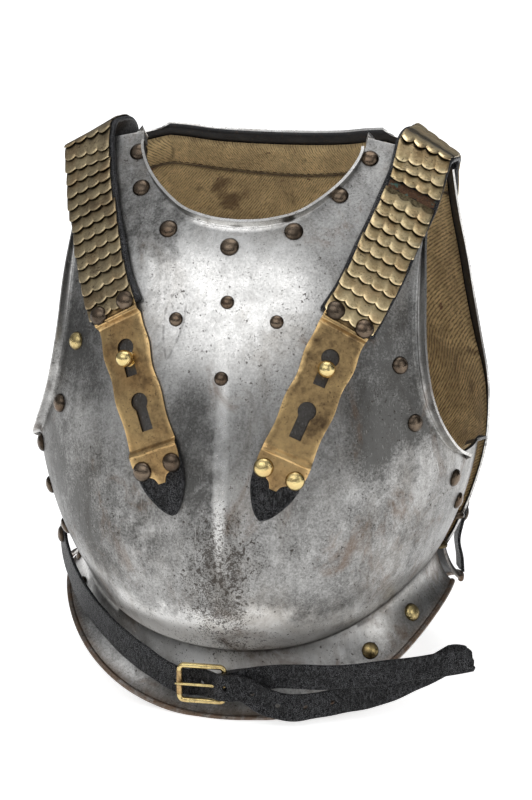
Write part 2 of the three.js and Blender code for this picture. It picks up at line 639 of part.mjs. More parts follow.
function makeStrap(side, sideName) {
  const path = strapPath(side);
  const turn = turnOf(path);
  const fold = path.length - hookLength - tabReach;
  const name = (piece) => `${sideName}_${piece}`;
  const leatherTop = restGap + strapThickness;

  const rivetPlaces = [-upperRivet, lowerRivet]
    .flatMap((d) => [hookRivetInset, -hookRivetInset].map((w) => [fold + d, w]));
  const bores = rivetPlaces.map(([d, w]) => boreAt(path, d, w, hookRivetShank + fitGap));
  const cut = (solid, cutters) => cutters.reduce((rest, cutter) => rest.subtract(cutter), solid);

  // Leathers
  const start = turn + shoulderGap / 2;
  const pitch = (fold - hookTab - start) / frontScales;
  const strapBand = (stations) => (
    band(path, stations, 3, () => strapWidth / 2, () => restGap, strapThickness)
  );
  const frontStations = [...steps(start, fold - hookTab, frontScales), fold - hookStep];
  addPiece(name("strap"), geometryOf(cut(strapBand(frontStations), bores.slice(0, 2))), leather);
  const anchorAt = rearAnchor;
  const anchorBore = boreAt(path, anchorAt, 0, hookRivetShank + fitGap);
  const rearStart = turn - shoulderGap / 2;
  const rearPitch = (rearStart - rearBare) / rearScales;
  const rearStations = [0, rearBare / 2, ...steps(rearBare, rearStart, rearScales)];
  addPiece(name("rear_strap"), geometryOf(cut(strapBand(rearStations), [anchorBore])), leather);

  // Scales, each lapping over the next one away from the shoulder
  const scaleBase = leatherTop + scaleGap;
  const lapRise = scaleThickness + restGap;
  const scaleFrom = (from, way, step, rise, bent, waves) => {
    const reach = step + scaleLap;
    const slope = rise / step;
    const columns = waves * scallops;
    const offsets = bent ? [0, step, reach] : [0, reach];
    const stations = way > 0 ? offsets.map((d) => from + d) : offsets.toReversed().map((d) => from - d);
    const lowEdge = way > 0 ? offsets.length - 1 : 0;
    const scallop = (j, share) => {
      const wave = Math.abs(Math.cos(quarterTurn * scallops * (share + 1)));
      return j === lowEdge ? -way * scallopDepth * wave : 0;
    };
    const lift = (d) => scaleBase + slope * Math.abs(d - from);
    return band(path, stations, columns, () => scaleWidth / 2, lift, scaleThickness, scallop);
  };
  for (let k = 0; k < frontScales; k++) {
    if (side > 0 && k === missingScale) continue;
    const number = String(k + 1).padStart(2, "0");
    const scale = scaleFrom(start + k * pitch, 1, pitch, lapRise, k < bentScales, 3);
    addPiece(name(`scale_${number}`), geometryOf(scale), brass);
  }

  // Rear scales, held in one piece by the leather that they are wired to
  const rear = steps(0, rearScales - 1, rearScales - 1).map((k) => (
    scaleFrom(rearStart - k * rearPitch, -1, rearPitch, scaleThickness - fitGap, true, 2)
  ));
  addPiece(name("rear_scales"), geometryOf(rear.reduce((all, one) => all.add(one))), brass);

  // The hook plate steps down from the strap's face to the chest and up again on to the pull tab
  const tabTop = leatherTop + fitGap;
  const tailTop = restGap + tabThickness + fitGap;
  const liftShares = (d) => {
    const u = d - fold;
    if (u < 0) return tabTop;
    if (u < hookStep) return tabTop + (restGap - tabTop) * smooth(u / hookStep, 0, 1);
    return restGap + (tailTop - restGap) * smooth(u, hookRidge - hookStep, hookRidge);
  };
  const plateStations = [
    ...steps(fold - hookTab, fold, 2), ...steps(fold + hookStep, fold + hookRidge - hookStep, 9),
    ...steps(fold + hookRidge, fold + hookLength, 5),
  ];
  const hookWidth = (d) => hookHalfWidth * along(hookWidthShares, clamp((d - fold) / hookLength, 0, 1));
  const hook = band(path, plateStations, 4, hookWidth, liftShares, hookThickness);
  const keys = [firstKey, firstKey + keyPitch].map((d) => keyholeAt(path, fold + d));
  addPiece(name("hook_plate"), geometryOf(cut(hook, [...keys, ...bores])), brass);

  const tabStart = fold + hookRidge + hookStep / 2;
  const tabWidthShares = [[0, 0.97], [0.3, 1], [0.55, 0.82], [0.8, 0.42], [1, 0.06]];
  const tabWidth = (d) => tabHalfWidth * along(tabWidthShares, (d - tabStart) / (path.length - tabStart));
  const tab = band(path, steps(tabStart, path.length, 10), 2, tabWidth, () => restGap, tabThickness);
  addPiece(name("pull_tab"), geometryOf(cut(tab, bores.slice(2))), leather);

  // Rivets and stud
  rivetPlaces.forEach(([d, w], k) => {
    const upper = k < 2;
    const top = (upper ? tabTop : tailTop) + hookThickness;
    const frame = path.frame(d);
    const head = domeProfile(hookRivetRadius, hookRivetHeight, fitGap);
    const foot = fitGap - top + restGap;
    const profile = [[0, foot], [hookRivetShank, foot], [hookRivetShank, fitGap], ...head.slice(1)];
    const finish = upper || side < 0 ? bronze : brightBrass;
    const label = `${upper ? "upper" : "lower"}_rivet_${w > 0 === side > 0 ? "inner" : "outer"}`;
    addPiece(name(label), turnedPiece(profile, placeOn(frame, w, top), frame.out), finish);
  });
  const studFrame = path.frame(fold + firstKey + studTravel);
  const ball = steps(-0.62, 1, 6).map((share) => {
    const turnTo = quarterTurn * share;
    return [studRadius * Math.cos(turnTo), studRise + studRadius * Math.sin(turnTo)];
  });
  ball[ball.length - 1][0] = 0;
  const studProfile = [[0, fitGap], [studShank, fitGap], ...ball];
  addPiece(name("hook_stud"), turnedPiece(studProfile, studFrame.point, studFrame.out, 12), brightBrass);
  const anchorFrame = path.frame(anchorAt);
  const anchorTop = leatherTop + fitGap;
  const anchorProfile = [
    [0, fitGap - anchorTop], [hookRivetShank, fitGap - anchorTop], [hookRivetShank, 0],
    ...domeProfile(rivetRadius, rivetHeight, 0).slice(1),
  ];
  const anchorFoot = placeOn(anchorFrame, 0, anchorTop);
  addPiece(name("anchor_rivet"), turnedPiece(anchorProfile, anchorFoot, anchorFrame.out), bronze);
}

function turnedPiece(profile, point, normal, segments = 8) {
  return geometryOf(solidOf(turned(profile, point, normal, segments)));
}

// Waist belt. Its places are an angle round the body, how far it stands off the waist as a share of the
// skirt's spread, and a share of the waistline's height at the sides.
const bucklePlace = [0.004, 1.238, 0.324];
const billetStartPlaces = [
  [-1.352, 0.18, 1.207], [-1.285, 0.5, 1.008], [-1.12, 0.483, 0.842], [-0.905, 0.507, 0.717],
  [-0.621, 0.766, 0.56], [-0.421, 0.978, 0.444],
];
const billetEndPlaces = [
  [0.186, 1.486, 0.213], [0.3, 1.488, 0.166], [0.415, 1.376, 0.166], [0.567, 1.308, 0.19],
  [0.783, 1.383, 0.24], [0.938, 1.678, 0.342], [1.082, 2.515, 0.541],
];
const chapePlaces = [
  [0.086, 1.301, 0.37], [0.213, 1.415, 0.425], [0.336, 1.559, 0.439], [0.47, 1.622, 0.43],
  [0.683, 1.586, 0.421], [0.915, 1.984, 0.439], [1.054, 2.921, 0.499],
];
// The billet's weave through the buckle, as shares of the buckle's length and of the loop's radius.
const buckleWeaveShares = [[-1, -1.065], [-0.5, -0.848], [0, 1.196], [0.42, 0.957]];

const turnStep = 0.05;
const sideWaist = waistLine(quarterTurn);

// A place beside a plate, with the level way out from it. Below the waistline it stands off the waist.
function beside(plate, [angle, standShare, heightShare]) {
  const height = heightShare * sideWaist;
  const faceAt = (a) => platePoint(plate, a, Math.max(height, waistLine(a)));
  const ahead = faceAt(angle + turnStep).sub(faceAt(angle - turnStep)).setZ(0).normalize();
  const normal = new THREE.Vector3(ahead.y, -ahead.x, 0).multiplyScalar(-plate.facing);
  const point = faceAt(angle).addScaledVector(normal, standShare * waistSpread).setZ(height);
  return { point, normal };
}

const beltPoint = (place) => beside(breast, place).point;

const bucklePoint = beltPoint(bucklePlace);

function beltPath(points) {
  const curve = new THREE.CatmullRomCurve3(points);
  const up = new THREE.Vector3(0, 0, 1);
  return pathThrough(points.map((point, k) => {
    const ahead = curve.getTangent(k / (points.length - 1));
    return { point, normal: ahead.clone().cross(up).normalize() };
  }));
}

function billetPoints() {
  const weave = buckleWeaveShares.map(([share, out]) => (
    bucklePoint.clone().add(new THREE.Vector3(share * buckleLength, -out * loopRadius, 0))
  ));
  return [...billetStartPlaces.map(beltPoint), ...weave, ...billetEndPlaces.map(beltPoint)];
}

const billet = beltPath(billetPoints());
const chape = beltPath([bucklePoint, ...chapePlaces.map(beltPoint)]);
const stubPlaces = [
  [1.3, 0.06, 1.315], [1.34, 0.12, 1.17], [1.372, 0.32, 1.004], [1.39, 0.45, 0.847], [1.382, 0.495, 0.715],
];
const stubPath = pathThrough(stubPlaces.map((place) => beside(back, place)));

function crossBore(path, distance, radius, segments = 8) {
  const frame = path.frame(distance);
  const foot = placeOn(frame, 0, -cutOverrun);
  const reach = 2 * cutOverrun + beltThickness;
  return solidOf(turned([[0, 0], [radius, 0], [radius, reach], [0, reach]], foot, frame.out, segments));
}

function tonguePoints(swing = 0) {
  const ring = buckleBar + fitGap + tongueRadius;
  const eye = steps(-0.7, 1, 5).map((share) => {
    const turn = share * quarterTurn;
    return new THREE.Vector3(ring * Math.cos(turn), -ring * Math.sin(turn), 0).add(bucklePoint);
  });
  const tip = new THREE.Vector3(-buckleLength - tongueRadius * 2, -ring, 0).add(bucklePoint);
  const upright = new THREE.Vector3(0, 0, 1);
  return [...eye, eye.at(-1).clone().lerp(tip, 0.5), tip].map((point) => (
    point.sub(bucklePoint).applyAxisAngle(upright, swing).add(bucklePoint)
  ));
}

function makeBelt() {
  const tongue = solidOf(tubeAlong(tonguePoints(), tongueRadius, 6, false));
  const tongueRoom = steps(0, tongueSwing, 3)
    .map((swing) => solidOf(tubeAlong(tonguePoints(swing), tongueRadius + fitGap, 6, false)))
    .reduce((all, one) => all.add(one));
  const fromHip = hipTab + hipGap / 2;
  const hip = billet.frame(hipTab);
  const level = hip.ahead.clone().setZ(0);
  const slant = -hip.across.clone().setZ(0).dot(level) / level.lengthSq() * beltWidth / 2;
  const shoulderAt = billet.length - pointLength;
  const stations = [...steps(fromHip, shoulderAt, 36), billet.length];
  const pointed = (d) => (d > shoulderAt + pointLength / 2 ? beltWidth * pointShare : beltWidth / 2);
  const leatherBand = (path, at, halfWidth, shift) => (
    band(path, at, 1, halfWidth, () => 0, beltThickness, shift)
  );
  const hipRows = 3;
  const startSlant = (j, share) => (j === 0 ? slant * share : 0);
  const tabSlant = (j, share) => slant * share * j / hipRows;
  const buckleAt = nearest(billet, bucklePoint) - buckleLength / 2;
  let strap = leatherBand(billet, stations, pointed, startSlant).subtract(tongueRoom);
  for (let k = -1; k < beltHoles; k++) {
    if (k !== 0) strap = strap.subtract(crossBore(billet, buckleAt + k * beltHolePitch, beltHoleRadius, 6));
  }
  addPiece("belt_billet", geometryOf(strap), leather);
  const tabStations = steps(0, hipTab - hipGap / 2, hipRows);
  const tab = leatherBand(billet, tabStations, () => beltWidth / 2, tabSlant)
    .subtract(crossBore(billet, hipRivet, hookRivetShank + fitGap));
  addPiece("belt_hip_tab", geometryOf(tab), leather);

  const upright = new THREE.Vector3(0, 0, 1);
  const barFoot = bucklePoint.clone().addScaledVector(upright, -chapeWidth / 2);
  const post = (radius, foot, height) => (
    solidOf(turned([[0, 0], [radius, 0], [radius, height], [0, height]], foot, upright, 12))
  );
  const boreFoot = barFoot.clone().addScaledVector(upright, -cutOverrun);
  const bore = post(buckleBar + fitGap, boreFoot, chapeWidth + 2 * cutOverrun);
  const chapeStations = steps(0, chape.length, 16);
  const chapeLift = () => -beltThickness / 2;
  const chapeBand = band(chape, chapeStations, 1, () => chapeWidth / 2, chapeLift, beltThickness);
  const slotFoot = bucklePoint.clone().addScaledVector(upright, -tongueRadius - fitGap);
  const slot = post(loopRadius + cutOverrun, slotFoot, 2 * (tongueRadius + fitGap));
  const loop = post(loopRadius, barFoot, chapeWidth).add(chapeBand).subtract(bore).subtract(slot);
  addPiece("belt_chape", geometryOf(loop), leather);

  const turnPoints = 4;
  const halfHeight = buckleHeight / 2 - buckleCorner;
  const corners = [[0, 1, 0], [-1, 1, 1], [-1, -1, 2], [0, -1, 3]];
  const outline = corners.flatMap(([atLeft, atTop, quarter]) => steps(0, 1, turnPoints - 1).map((way) => {
    const turn = (quarter + way) * quarterTurn;
    const x = (atLeft ? -buckleLength + buckleCorner : -buckleCorner) + buckleCorner * Math.cos(turn);
    const z = atTop * halfHeight + buckleCorner * Math.sin(turn);
    return new THREE.Vector3(x, 0, z).add(bucklePoint);
  }));
  addPiece("buckle_frame", geometryOf(solidOf(tubeAlong(outline, buckleBar, 6, true))), brass);
  addPiece("buckle_tongue", geometryOf(tongue), brass);
}

function nearest(path, point) {
  const found = steps(0, path.length, 600).map((d) => [path.frame(d).point.distanceTo(point), d]);
  return found.reduce((best, one) => (one[0] < best[0] ? one : best))[1];
}

function makeStub() {
  const stubStations = 5;
  const torn = (j, share) => (j === stubStations ? -tearDepth * Math.abs(share) : 0);
  const stations = steps(0, stubPath.length, stubStations);
  const strip = band(stubPath, stations, 3, () => stubWidth / 2, () => restGap, beltThickness, torn)
    .subtract(crossBore(stubPath, stubRivet, hookRivetShank + fitGap));
  addPiece("torn_stub", geometryOf(strip), leather);
}

makePlates();
makeLining("breast_lining", breast);
makeLining("back_lining", back);
makeStrap(-1, "right");
makeStrap(1, "left");
makeBelt();
makeStub();

// The part's frame starts under the middle of its whole reach, on the plane that it stands on.
const reach = new THREE.Box3().setFromObject(cuirass);
const middle = reach.getCenter(new THREE.Vector3()).setZ(reach.min.z);
cuirass.children.forEach(({ geometry }) => geometry.translate(-middle.x, -middle.y, -middle.z));

export default cuirass;
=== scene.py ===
"""Looks of a cavalry trooper's cuirass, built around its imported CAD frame."""

import math

import bmesh
import bpy
import numpy as np
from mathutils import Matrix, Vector


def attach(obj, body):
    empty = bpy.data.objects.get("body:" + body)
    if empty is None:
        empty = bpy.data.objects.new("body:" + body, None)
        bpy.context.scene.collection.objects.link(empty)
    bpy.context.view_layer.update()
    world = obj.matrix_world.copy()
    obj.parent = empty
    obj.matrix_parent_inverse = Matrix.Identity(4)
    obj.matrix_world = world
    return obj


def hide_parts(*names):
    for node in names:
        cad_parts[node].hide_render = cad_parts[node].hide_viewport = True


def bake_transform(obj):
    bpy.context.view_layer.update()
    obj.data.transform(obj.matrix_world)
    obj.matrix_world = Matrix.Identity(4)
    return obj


bl_info = {
    "name": "Cavalry cuirass",
    "version": (1, 0, 0),
    "blender": (4, 5, 0),
    "location": "View3D > Sidebar > Cuirass",
    "description": "Builds the plates, linings, scaled straps and belt of a cavalry cuirass",
    "category": "Object",
}

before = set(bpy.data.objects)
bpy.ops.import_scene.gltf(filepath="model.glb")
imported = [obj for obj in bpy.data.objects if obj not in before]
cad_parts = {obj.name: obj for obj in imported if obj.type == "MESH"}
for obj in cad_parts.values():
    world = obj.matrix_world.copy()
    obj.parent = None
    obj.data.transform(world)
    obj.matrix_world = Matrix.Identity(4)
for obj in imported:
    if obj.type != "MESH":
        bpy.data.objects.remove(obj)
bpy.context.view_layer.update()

MM = 0.001
MIDDLE = np.array([3.2236, -23.6507, 0.0])  # middle of the part's reach, from the plates' own axis
QUARTER = math.pi / 2
UPRIGHT = np.array([0.0, 0.0, 1.0])
# Angles in radians from which an edge is shown sharp
SHARP, PIECE_SHARP, PLATE_SHARP, LEATHER_SHARP, TAB_SHARP, CLOTH_SHARP = 0.6, 0.7, 0.9, 1.0, 1.1, 1.2

# Sizes shared with the CAD source, in millimetres
PLATE_HEIGHT = 444
CHEST_WIDTH = 360
BREAST_DEPTH = 176
BACK_DEPTH = 128
SEAM_GAP = 7
WAIST_HEIGHT = 46
WAIST_SPREAD = 27
SIDE_SPREAD = 14
HIP_RISE = 50
SIDE_DROP = 28
RIDGE_HEIGHT = 5
RIDGE_REACH = 22
RIDGE_ROUNDING = 4
SKIRT_TURN = 1.35
SPREAD_POWER = 1.35
HIP_POWER = 2.3
HEM_WIDTH = 1.4
RIM_RADIUS = 2.4
STANDING_CUT = 1
SQUARENESS = 0.9
FULLNESS = [[0, 1.06], [0.12, 1.04], [0.3, 0.92], [0.5, 0.84], [1, 0.84]]
BREAST = {
    "facing": -1, "depth": BREAST_DEPTH, "thickness": 2.2, "side_offset": 0,
    "width": [[0, 0.74], [0.1, 0.745], [0.2, 0.8], [0.25, 0.865], [0.32, 0.935], [0.4, 0.985],
              [0.46, 1], [0.57, 0.99], [0.72, 0.955], [0.86, 0.925], [1, 0.91]],
    "reach": [[0, 0.74], [0.1, 0.75], [0.18, 0.9], [0.27, 0.985], [0.35, 1], [0.5, 0.95],
              [0.66, 0.85], [0.8, 0.7], [0.9, 0.52], [1, 0.3]],
    "side": [[0, 0], [0.5, 0], [0.78, 0.04], [1, 0.1]],
    "ridge": [[0, 0.3], [0.12, 0.5], [0.3, 1], [0.5, 0.85], [0.66, 0.3], [0.8, 0.06], [1, 0]],
    "arm_corner": 0.435,
    "arm": [[0.95, 0.448], [0.88, 0.495], [0.81, 0.57], [0.768, 0.67], [0.758, 0.79], [0.775, 0.875]],
    "shoulder": [[0.815, 0.95], [0.66, 0.98], [0.5, 0.995]],
    "neck": [[0.48, 0.957], [0.41, 0.918], [0.27, 0.877], [0.13, 0.861], [0, 0.857]],
    "lip": (2.2, 7), "sleeve_lip": (4.6, 6.6), "low_swell": 5,
}
BACK = {
    "facing": 1, "depth": BACK_DEPTH, "thickness": 1.6, "side_offset": SEAM_GAP,
    "width": [[0, 0.77], [0.1, 0.775], [0.2, 0.835], [0.25, 0.9], [0.32, 0.97], [0.4, 1.025],
              [0.46, 1.04], [0.57, 1.03], [0.72, 0.98], [0.86, 0.9], [1, 0.84]],
    "reach": [[0, 0.66], [0.1, 0.66], [0.2, 0.74], [0.4, 0.9], [0.6, 1], [0.78, 0.97], [0.9, 0.8],
              [1, 0.55]],
    "side": [[0, 0], [0.6, 0], [0.8, -0.05], [1, -0.1]],
    "ridge": [[0, 0], [0.5, 0], [1, 0]],
    "arm_corner": 0.42,
    "arm": [[1.035, 0.5], [0.985, 0.58], [0.93, 0.68], [0.885, 0.79], [0.858, 0.865]],
    "shoulder": [[0.845, 0.922], [0.68, 0.953], [0.5, 0.972]],
    "neck": [[0.42, 0.968], [0.3, 0.96], [0.15, 0.956], [0, 0.955]],
    "lip": (HEM_WIDTH, 3.5), "sleeve_lip": (HEM_WIDTH, 0), "low_swell": 0,
}


def along(shares, way):
    """Values read from rows of [share of the way, share of the size], smooth between the rows."""
    table = np.array(shares, float)
    x, y = table[:, 0], table[:, 1]
    way = np.asarray(way, float)
    i = np.clip(np.searchsorted(x, way, side="left") - 1, 0, len(x) - 2)
    slope = np.empty(len(x))
    slope[1:-1] = (y[2:] - y[:-2]) / (x[2:] - x[:-2])
    slope[0] = (y[1] - y[0]) / (x[1] - x[0])
    slope[-1] = (y[-1] - y[-2]) / (x[-1] - x[-2])
    span = x[i + 1] - x[i]
    t = (way - x[i]) / span
    t2, t3 = t * t, t * t * t
    start = (2 * t3 - 3 * t2 + 1) * y[i] + (t3 - 2 * t2 + t) * span * slope[i]
    return start + (3 * t2 - 2 * t3) * y[i + 1] + (t3 - t2) * span * slope[i + 1]


def smooth(value, low, high):
    t = np.clip((np.asarray(value, float) - low) / (high - low), 0, 1)
    return t * t * (3 - 2 * t)


def spline(points, t):
    """A uniform spline through points, read at shares t of its way."""
    points = np.array(points, float)
    n = len(points)
    place = np.clip(np.asarray(t, float), 0, 1) * (n - 1)
    i = np.minimum(place.astype(int), n - 2)
    w = (place - i)[..., None]
    p0, p1 = points[np.maximum(i - 1, 0)], points[i]
    p2, p3 = points[i + 1], points[np.minimum(i + 2, n - 1)]
    v0, v1 = (p2 - p0) / 2, (p3 - p1) / 2
    return (2 * p1 - 2 * p2 + v0 + v1) * w**3 + (-3 * p1 + 3 * p2 - 2 * v0 - v1) * w**2 + v0 * w + p1


def centripetal(points, t):
    """A centripetal spline through points in space, read at shares t of its way."""
    p = np.array(points, float)
    n = len(p)
    padded = np.vstack([2 * p[0] - p[1], p, 2 * p[-1] - p[-2]])
    place = np.clip(t, 0, 1) * (n - 1)
    i = np.minimum(place.astype(int), n - 2)
    w = (place - i)[:, None]
    p0, p1, p2, p3 = padded[i], padded[i + 1], padded[i + 2], padded[i + 3]

    def gap(a, b):
        d = ((a - b) ** 2).sum(1) ** 0.25
        return np.where(d < 1e-4, 1, d)[:, None]

    d0, d1, d2 = gap(p0, p1), gap(p1, p2), gap(p2, p3)
    t1 = ((p1 - p0) / d0 - (p2 - p0) / (d0 + d1) + (p2 - p1) / d1) * d1
    t2 = ((p2 - p1) / d1 - (p3 - p1) / (d1 + d2) + (p3 - p2) / d2) * d1
    c2 = -3 * p1 + 3 * p2 - 2 * t1 - t2
    c3 = 2 * p1 - 2 * p2 + t1 + t2
    return p1 + t1 * w + c2 * w**2 + c3 * w**3


def unit(v):
    v = np.asarray(v, float)
    return v / np.maximum(np.linalg.norm(v, axis=-1, keepdims=True), 1e-12)


def reach_along(points):
    """The distance along a line of points, at each of them."""
    return np.concatenate([[0], np.cumsum(np.linalg.norm(np.diff(points, axis=0), axis=1))])


def read_along(reach, rows, d):
    """Rows of values at the points of a line, read at distances along it."""
    return np.stack([np.interp(d, reach, column) for column in np.transpose(rows)], -1)


class Path:
    """A line through places with outward normals. Its frames give the point, the way on, out and across."""

    def __init__(self, points, normals, samples=801):
        t = np.linspace(0, 1, samples)
        self.points = centripetal(points, t)
        self.at = reach_along(self.points)
        self.length = self.at[-1]
        self.ahead = unit(np.gradient(self.points, axis=0))
        out = centripetal(normals, t)
        out -= (out * self.ahead).sum(1)[:, None] * self.ahead
        self.out = unit(out)
        self.across = np.cross(self.ahead, self.out)

    def frame(self, d):
        d = np.asarray(d, float)
        inside = np.clip(d, 0, self.length)
        ahead, out, across = (unit(read_along(self.at, rows, inside)) for rows in (self.ahead, self.out, self.across))
        return read_along(self.at, self.points, inside) + (d - inside)[..., None] * ahead, ahead, out, across

    def place(self, d, sideways, lift):
        point, _, out, across = self.frame(d)
        return point + across * np.asarray(sideways, float)[..., None] + out * np.asarray(lift, float)[..., None]


def plate_point(plate, angle, z):
    """Points of a plate's outer face at angles round the body and heights."""
    angle, z = np.broadcast_arrays(np.asarray(angle, float), np.asarray(z, float))
    way = np.clip(z / PLATE_HEIGHT, 0, 1)
    half_width = (CHEST_WIDTH / 2) * along(plate["width"], way)
    side = plate["side_offset"] + plate["depth"] * along(plate["side"], way)
    x = half_width * np.sign(angle) * np.abs(np.sin(angle)) ** SQUARENESS
    from_crest = np.hypot(x, RIDGE_ROUNDING) - RIDGE_ROUNDING
    ridge = RIDGE_HEIGHT * along(plate["ridge"], way) * np.exp(-from_crest / RIDGE_REACH)
    round_way = np.maximum(np.abs(np.cos(angle)), 1e-9) ** along(FULLNESS, way)
    reach = plate["depth"] * along(plate["reach"], way) * round_way + ridge
    return np.stack([x, plate["facing"] * (reach + plate["facing"] * side), z], -1)


def angle_at(plate, x, z):
    half_width = (CHEST_WIDTH / 2) * along(plate["width"], np.clip(np.asarray(z) / PLATE_HEIGHT, 0, 1))
    return np.sign(x) * np.arcsin(np.clip(np.abs(x) / half_width, 0, 1) ** (1 / SQUARENESS))


def on_plate(plate, x_share, z_share):
    """A place on a plate by shares of its half width and height, with its outward normal."""
    x, z = x_share * CHEST_WIDTH / 2, z_share * PLATE_HEIGHT
    step = CHEST_WIDTH / 500

    def at(px, pz):
        return plate_point(plate, angle_at(plate, px, pz), pz)

    across, up = at(x + step, z) - at(x - step, z), at(x, z + step) - at(x, z - step)
    return at(x, z), unit(np.cross(across, up)) * -plate["facing"]


def hip_way(angle):
    return np.abs(np.sin(np.clip(angle, -QUARTER, QUARTER))) ** HIP_POWER


# Where the patch's sides turn from the side edge to the armhole, and its top from the neck to the shoulder.
TURN_ROW, TURN_TOP = 6 / 14, 12 / 16


def plate_patch(plate, s, t):
    """The plate's outline as a four-sided patch in angle and height, filled by blending its sides."""
    base = WAIST_HEIGHT + HIP_RISE

    def place(share):
        z = PLATE_HEIGHT * share[1]
        return [float(angle_at(plate, share[0] * CHEST_WIDTH / 2, z)), z]

    corner = [QUARTER, PLATE_HEIGHT * plate["arm_corner"]]
    shoulder = [place(p) for p in plate["shoulder"]]
    arm_hole = [corner, *[place(p) for p in plate["arm"]], shoulder[0]]
    neck = [shoulder[-1], *[place(p) for p in plate["neck"]]]

    def side(t):
        t = np.asarray(t, float)
        low = np.stack([np.full_like(t, QUARTER), base + t / TURN_ROW * (corner[1] - base)], -1)
        high = spline(arm_hole, (t - TURN_ROW) / (1 - TURN_ROW))
        return np.where((t > TURN_ROW)[..., None], high, low)

    half = np.abs(2 * s - 1)
    over = np.where((half > TURN_TOP)[..., None], spline(shoulder, 1 - (half - TURN_TOP) / (1 - TURN_TOP)),
                    spline(neck, 1 - half / TURN_TOP))
    over_x = np.where(s < 0.5, -over[..., 0], over[..., 0])
    angle = (2 * s - 1) * QUARTER
    right, low, high = side(t), side(np.zeros(1))[0], side(np.ones(1))[0]
    ends_x, ends_y = low[0] * (1 - t) + high[0] * t, low[1] * (1 - t) + high[1] * t
    x = (1 - t) * angle + t * over_x + (2 * s - 1) * (right[..., 0] - ends_x)
    y = (1 - t) * (WAIST_HEIGHT + HIP_RISE * hip_way(angle)) + t * over[..., 1] + right[..., 1] - ends_y
    return plate_point(plate, x, y)


def grid_normals(rows):
    across = np.empty_like(rows)
    up = np.empty_like(rows)
    across[:, 1:-1] = rows[:, 2:] - rows[:, :-2]
    across[:, 0], across[:, -1] = rows[:, 1] - rows[:, 0], rows[:, -1] - rows[:, -2]
    up[1:-1] = rows[2:] - rows[:-2]
    up[0], up[-1] = rows[1] - rows[0], rows[-1] - rows[-2]
    return unit(np.cross(across, up))


# Sections of the turned edges as [share of the reach, share of the rise]. The armhole's lip has a low bead.
NECK_LIP = [[math.sin(k * QUARTER / 5), 1 - math.cos(k * QUARTER / 5)] for k in range(1, 6)]
SLEEVE_LIP = [[0.15, 0.1], [0.3, 0.15], [0.45, 0.1], [0.58, 0.08], [0.72, 0.2], [0.86, 0.5], [0.95, 0.8], [1, 1]]


def face_normals(plate, points):
    """Outward normals of the plate's own face below points."""
    angle, z = angle_at(plate, points[..., 0], points[..., 2]), points[..., 2]
    turn, rise = 0.01, 1.0
    across = plate_point(plate, angle + turn, z) - plate_point(plate, angle - turn, z)
    up = plate_point(plate, angle, z + rise) - plate_point(plate, angle, z - rise)
    return unit(np.cross(across, up)) * -plate["facing"]


def turned_edge(edge, inside, normal, section, reach, rise):
    """New rows of points beyond an edge: outwards in the sheet by the reach, out of it by the rise."""
    outwards = edge - inside
    outwards = unit(outwards - (outwards * normal).sum(-1)[..., None] * normal)
    reach, rise = np.asarray(reach, float)[..., None], np.asarray(rise, float)[..., None]
    return [edge + outwards * reach * a + normal * rise * b for a, b in section]


PLATE_ROWS, PLATE_COLUMNS, SKIRT_ROWS = 84, 112, 10


def plate_grid(plate):
    """The outer face as a grid: the flared skirt, the patch above the waist and the turned edges."""
    s, t = np.meshgrid(np.linspace(0, 1, PLATE_COLUMNS + 1), np.linspace(0, 1, PLATE_ROWS + 1))
    body = plate_patch(plate, s, t)
    facing = -plate["facing"]
    # The lower belly swells a little just above the fold.
    above = body[..., 2] - body[0, :, 2]
    fullness = plate["low_swell"] * smooth(above, 0, 10) * (1 - smooth(above, 12, 75))
    body = body + grid_normals(body) * (facing * fullness * np.cos((2 * s - 1) * QUARTER) ** 2)[..., None]
    hip = hip_way((2 * s[0] - 1) * QUARTER)
    outwards = grid_normals(body)[0] * facing
    outwards[:, 2] = 0
    outwards = unit(outwards)
    skirt = []
    for k in range(SKIRT_ROWS, 0, -1):
        way = k / SKIRT_ROWS
        fall = math.sin(way * SKIRT_TURN) / math.sin(SKIRT_TURN)
        spread = WAIST_SPREAD + (SIDE_SPREAD - WAIST_SPREAD) * hip
        drop = WAIST_HEIGHT - RIM_RADIUS + STANDING_CUT + (SIDE_DROP - WAIST_HEIGHT) * hip
        row = body[0] + outwards * (spread * way**SPREAD_POWER)[:, None]
        row[:, 2] = body[0][:, 2] - drop * fall
        skirt.append(row)
    grid = np.concatenate([np.array(skirt), body])
    normals = grid_normals(grid) * facing
    # A turned lip along the neck and a plain hem at the shoulders.
    half = np.abs(2 * s[0] - 1)
    neck = smooth(0.79 - half, 0, 0.06)
    reach, rise = HEM_WIDTH + (plate["lip"][0] - HEM_WIDTH) * neck, plate["lip"][1] * neck
    top = turned_edge(grid[-1], grid[-2], normals[-1], NECK_LIP, reach, rise)
    grid = np.concatenate([grid, np.array(top)])
    normals = grid_normals(grid) * facing
    # A turned lip round the armhole that fades into a hem towards the shoulder.
    arm_start = SKIRT_ROWS + PLATE_ROWS * TURN_ROW
    way = np.clip((np.arange(len(grid)) - arm_start) / (PLATE_ROWS * 8 / 14), 0, 1)
    fade = np.where(np.arange(len(grid)) < arm_start - 0.5, 0, 1 - smooth(way, 0.62, 0.9))
    reach = HEM_WIDTH + (plate["sleeve_lip"][0] - HEM_WIDTH) * fade
    rise = plate["sleeve_lip"][1] * fade
    left, right = (turned_edge(grid[:, edge], grid[:, inside], normals[:, edge], SLEEVE_LIP, reach, rise)
                   for edge, inside in ((0, 1), (-1, -2)))
    return np.concatenate([np.stack(left[::-1], 1), grid, np.stack(right, 1)], 1)


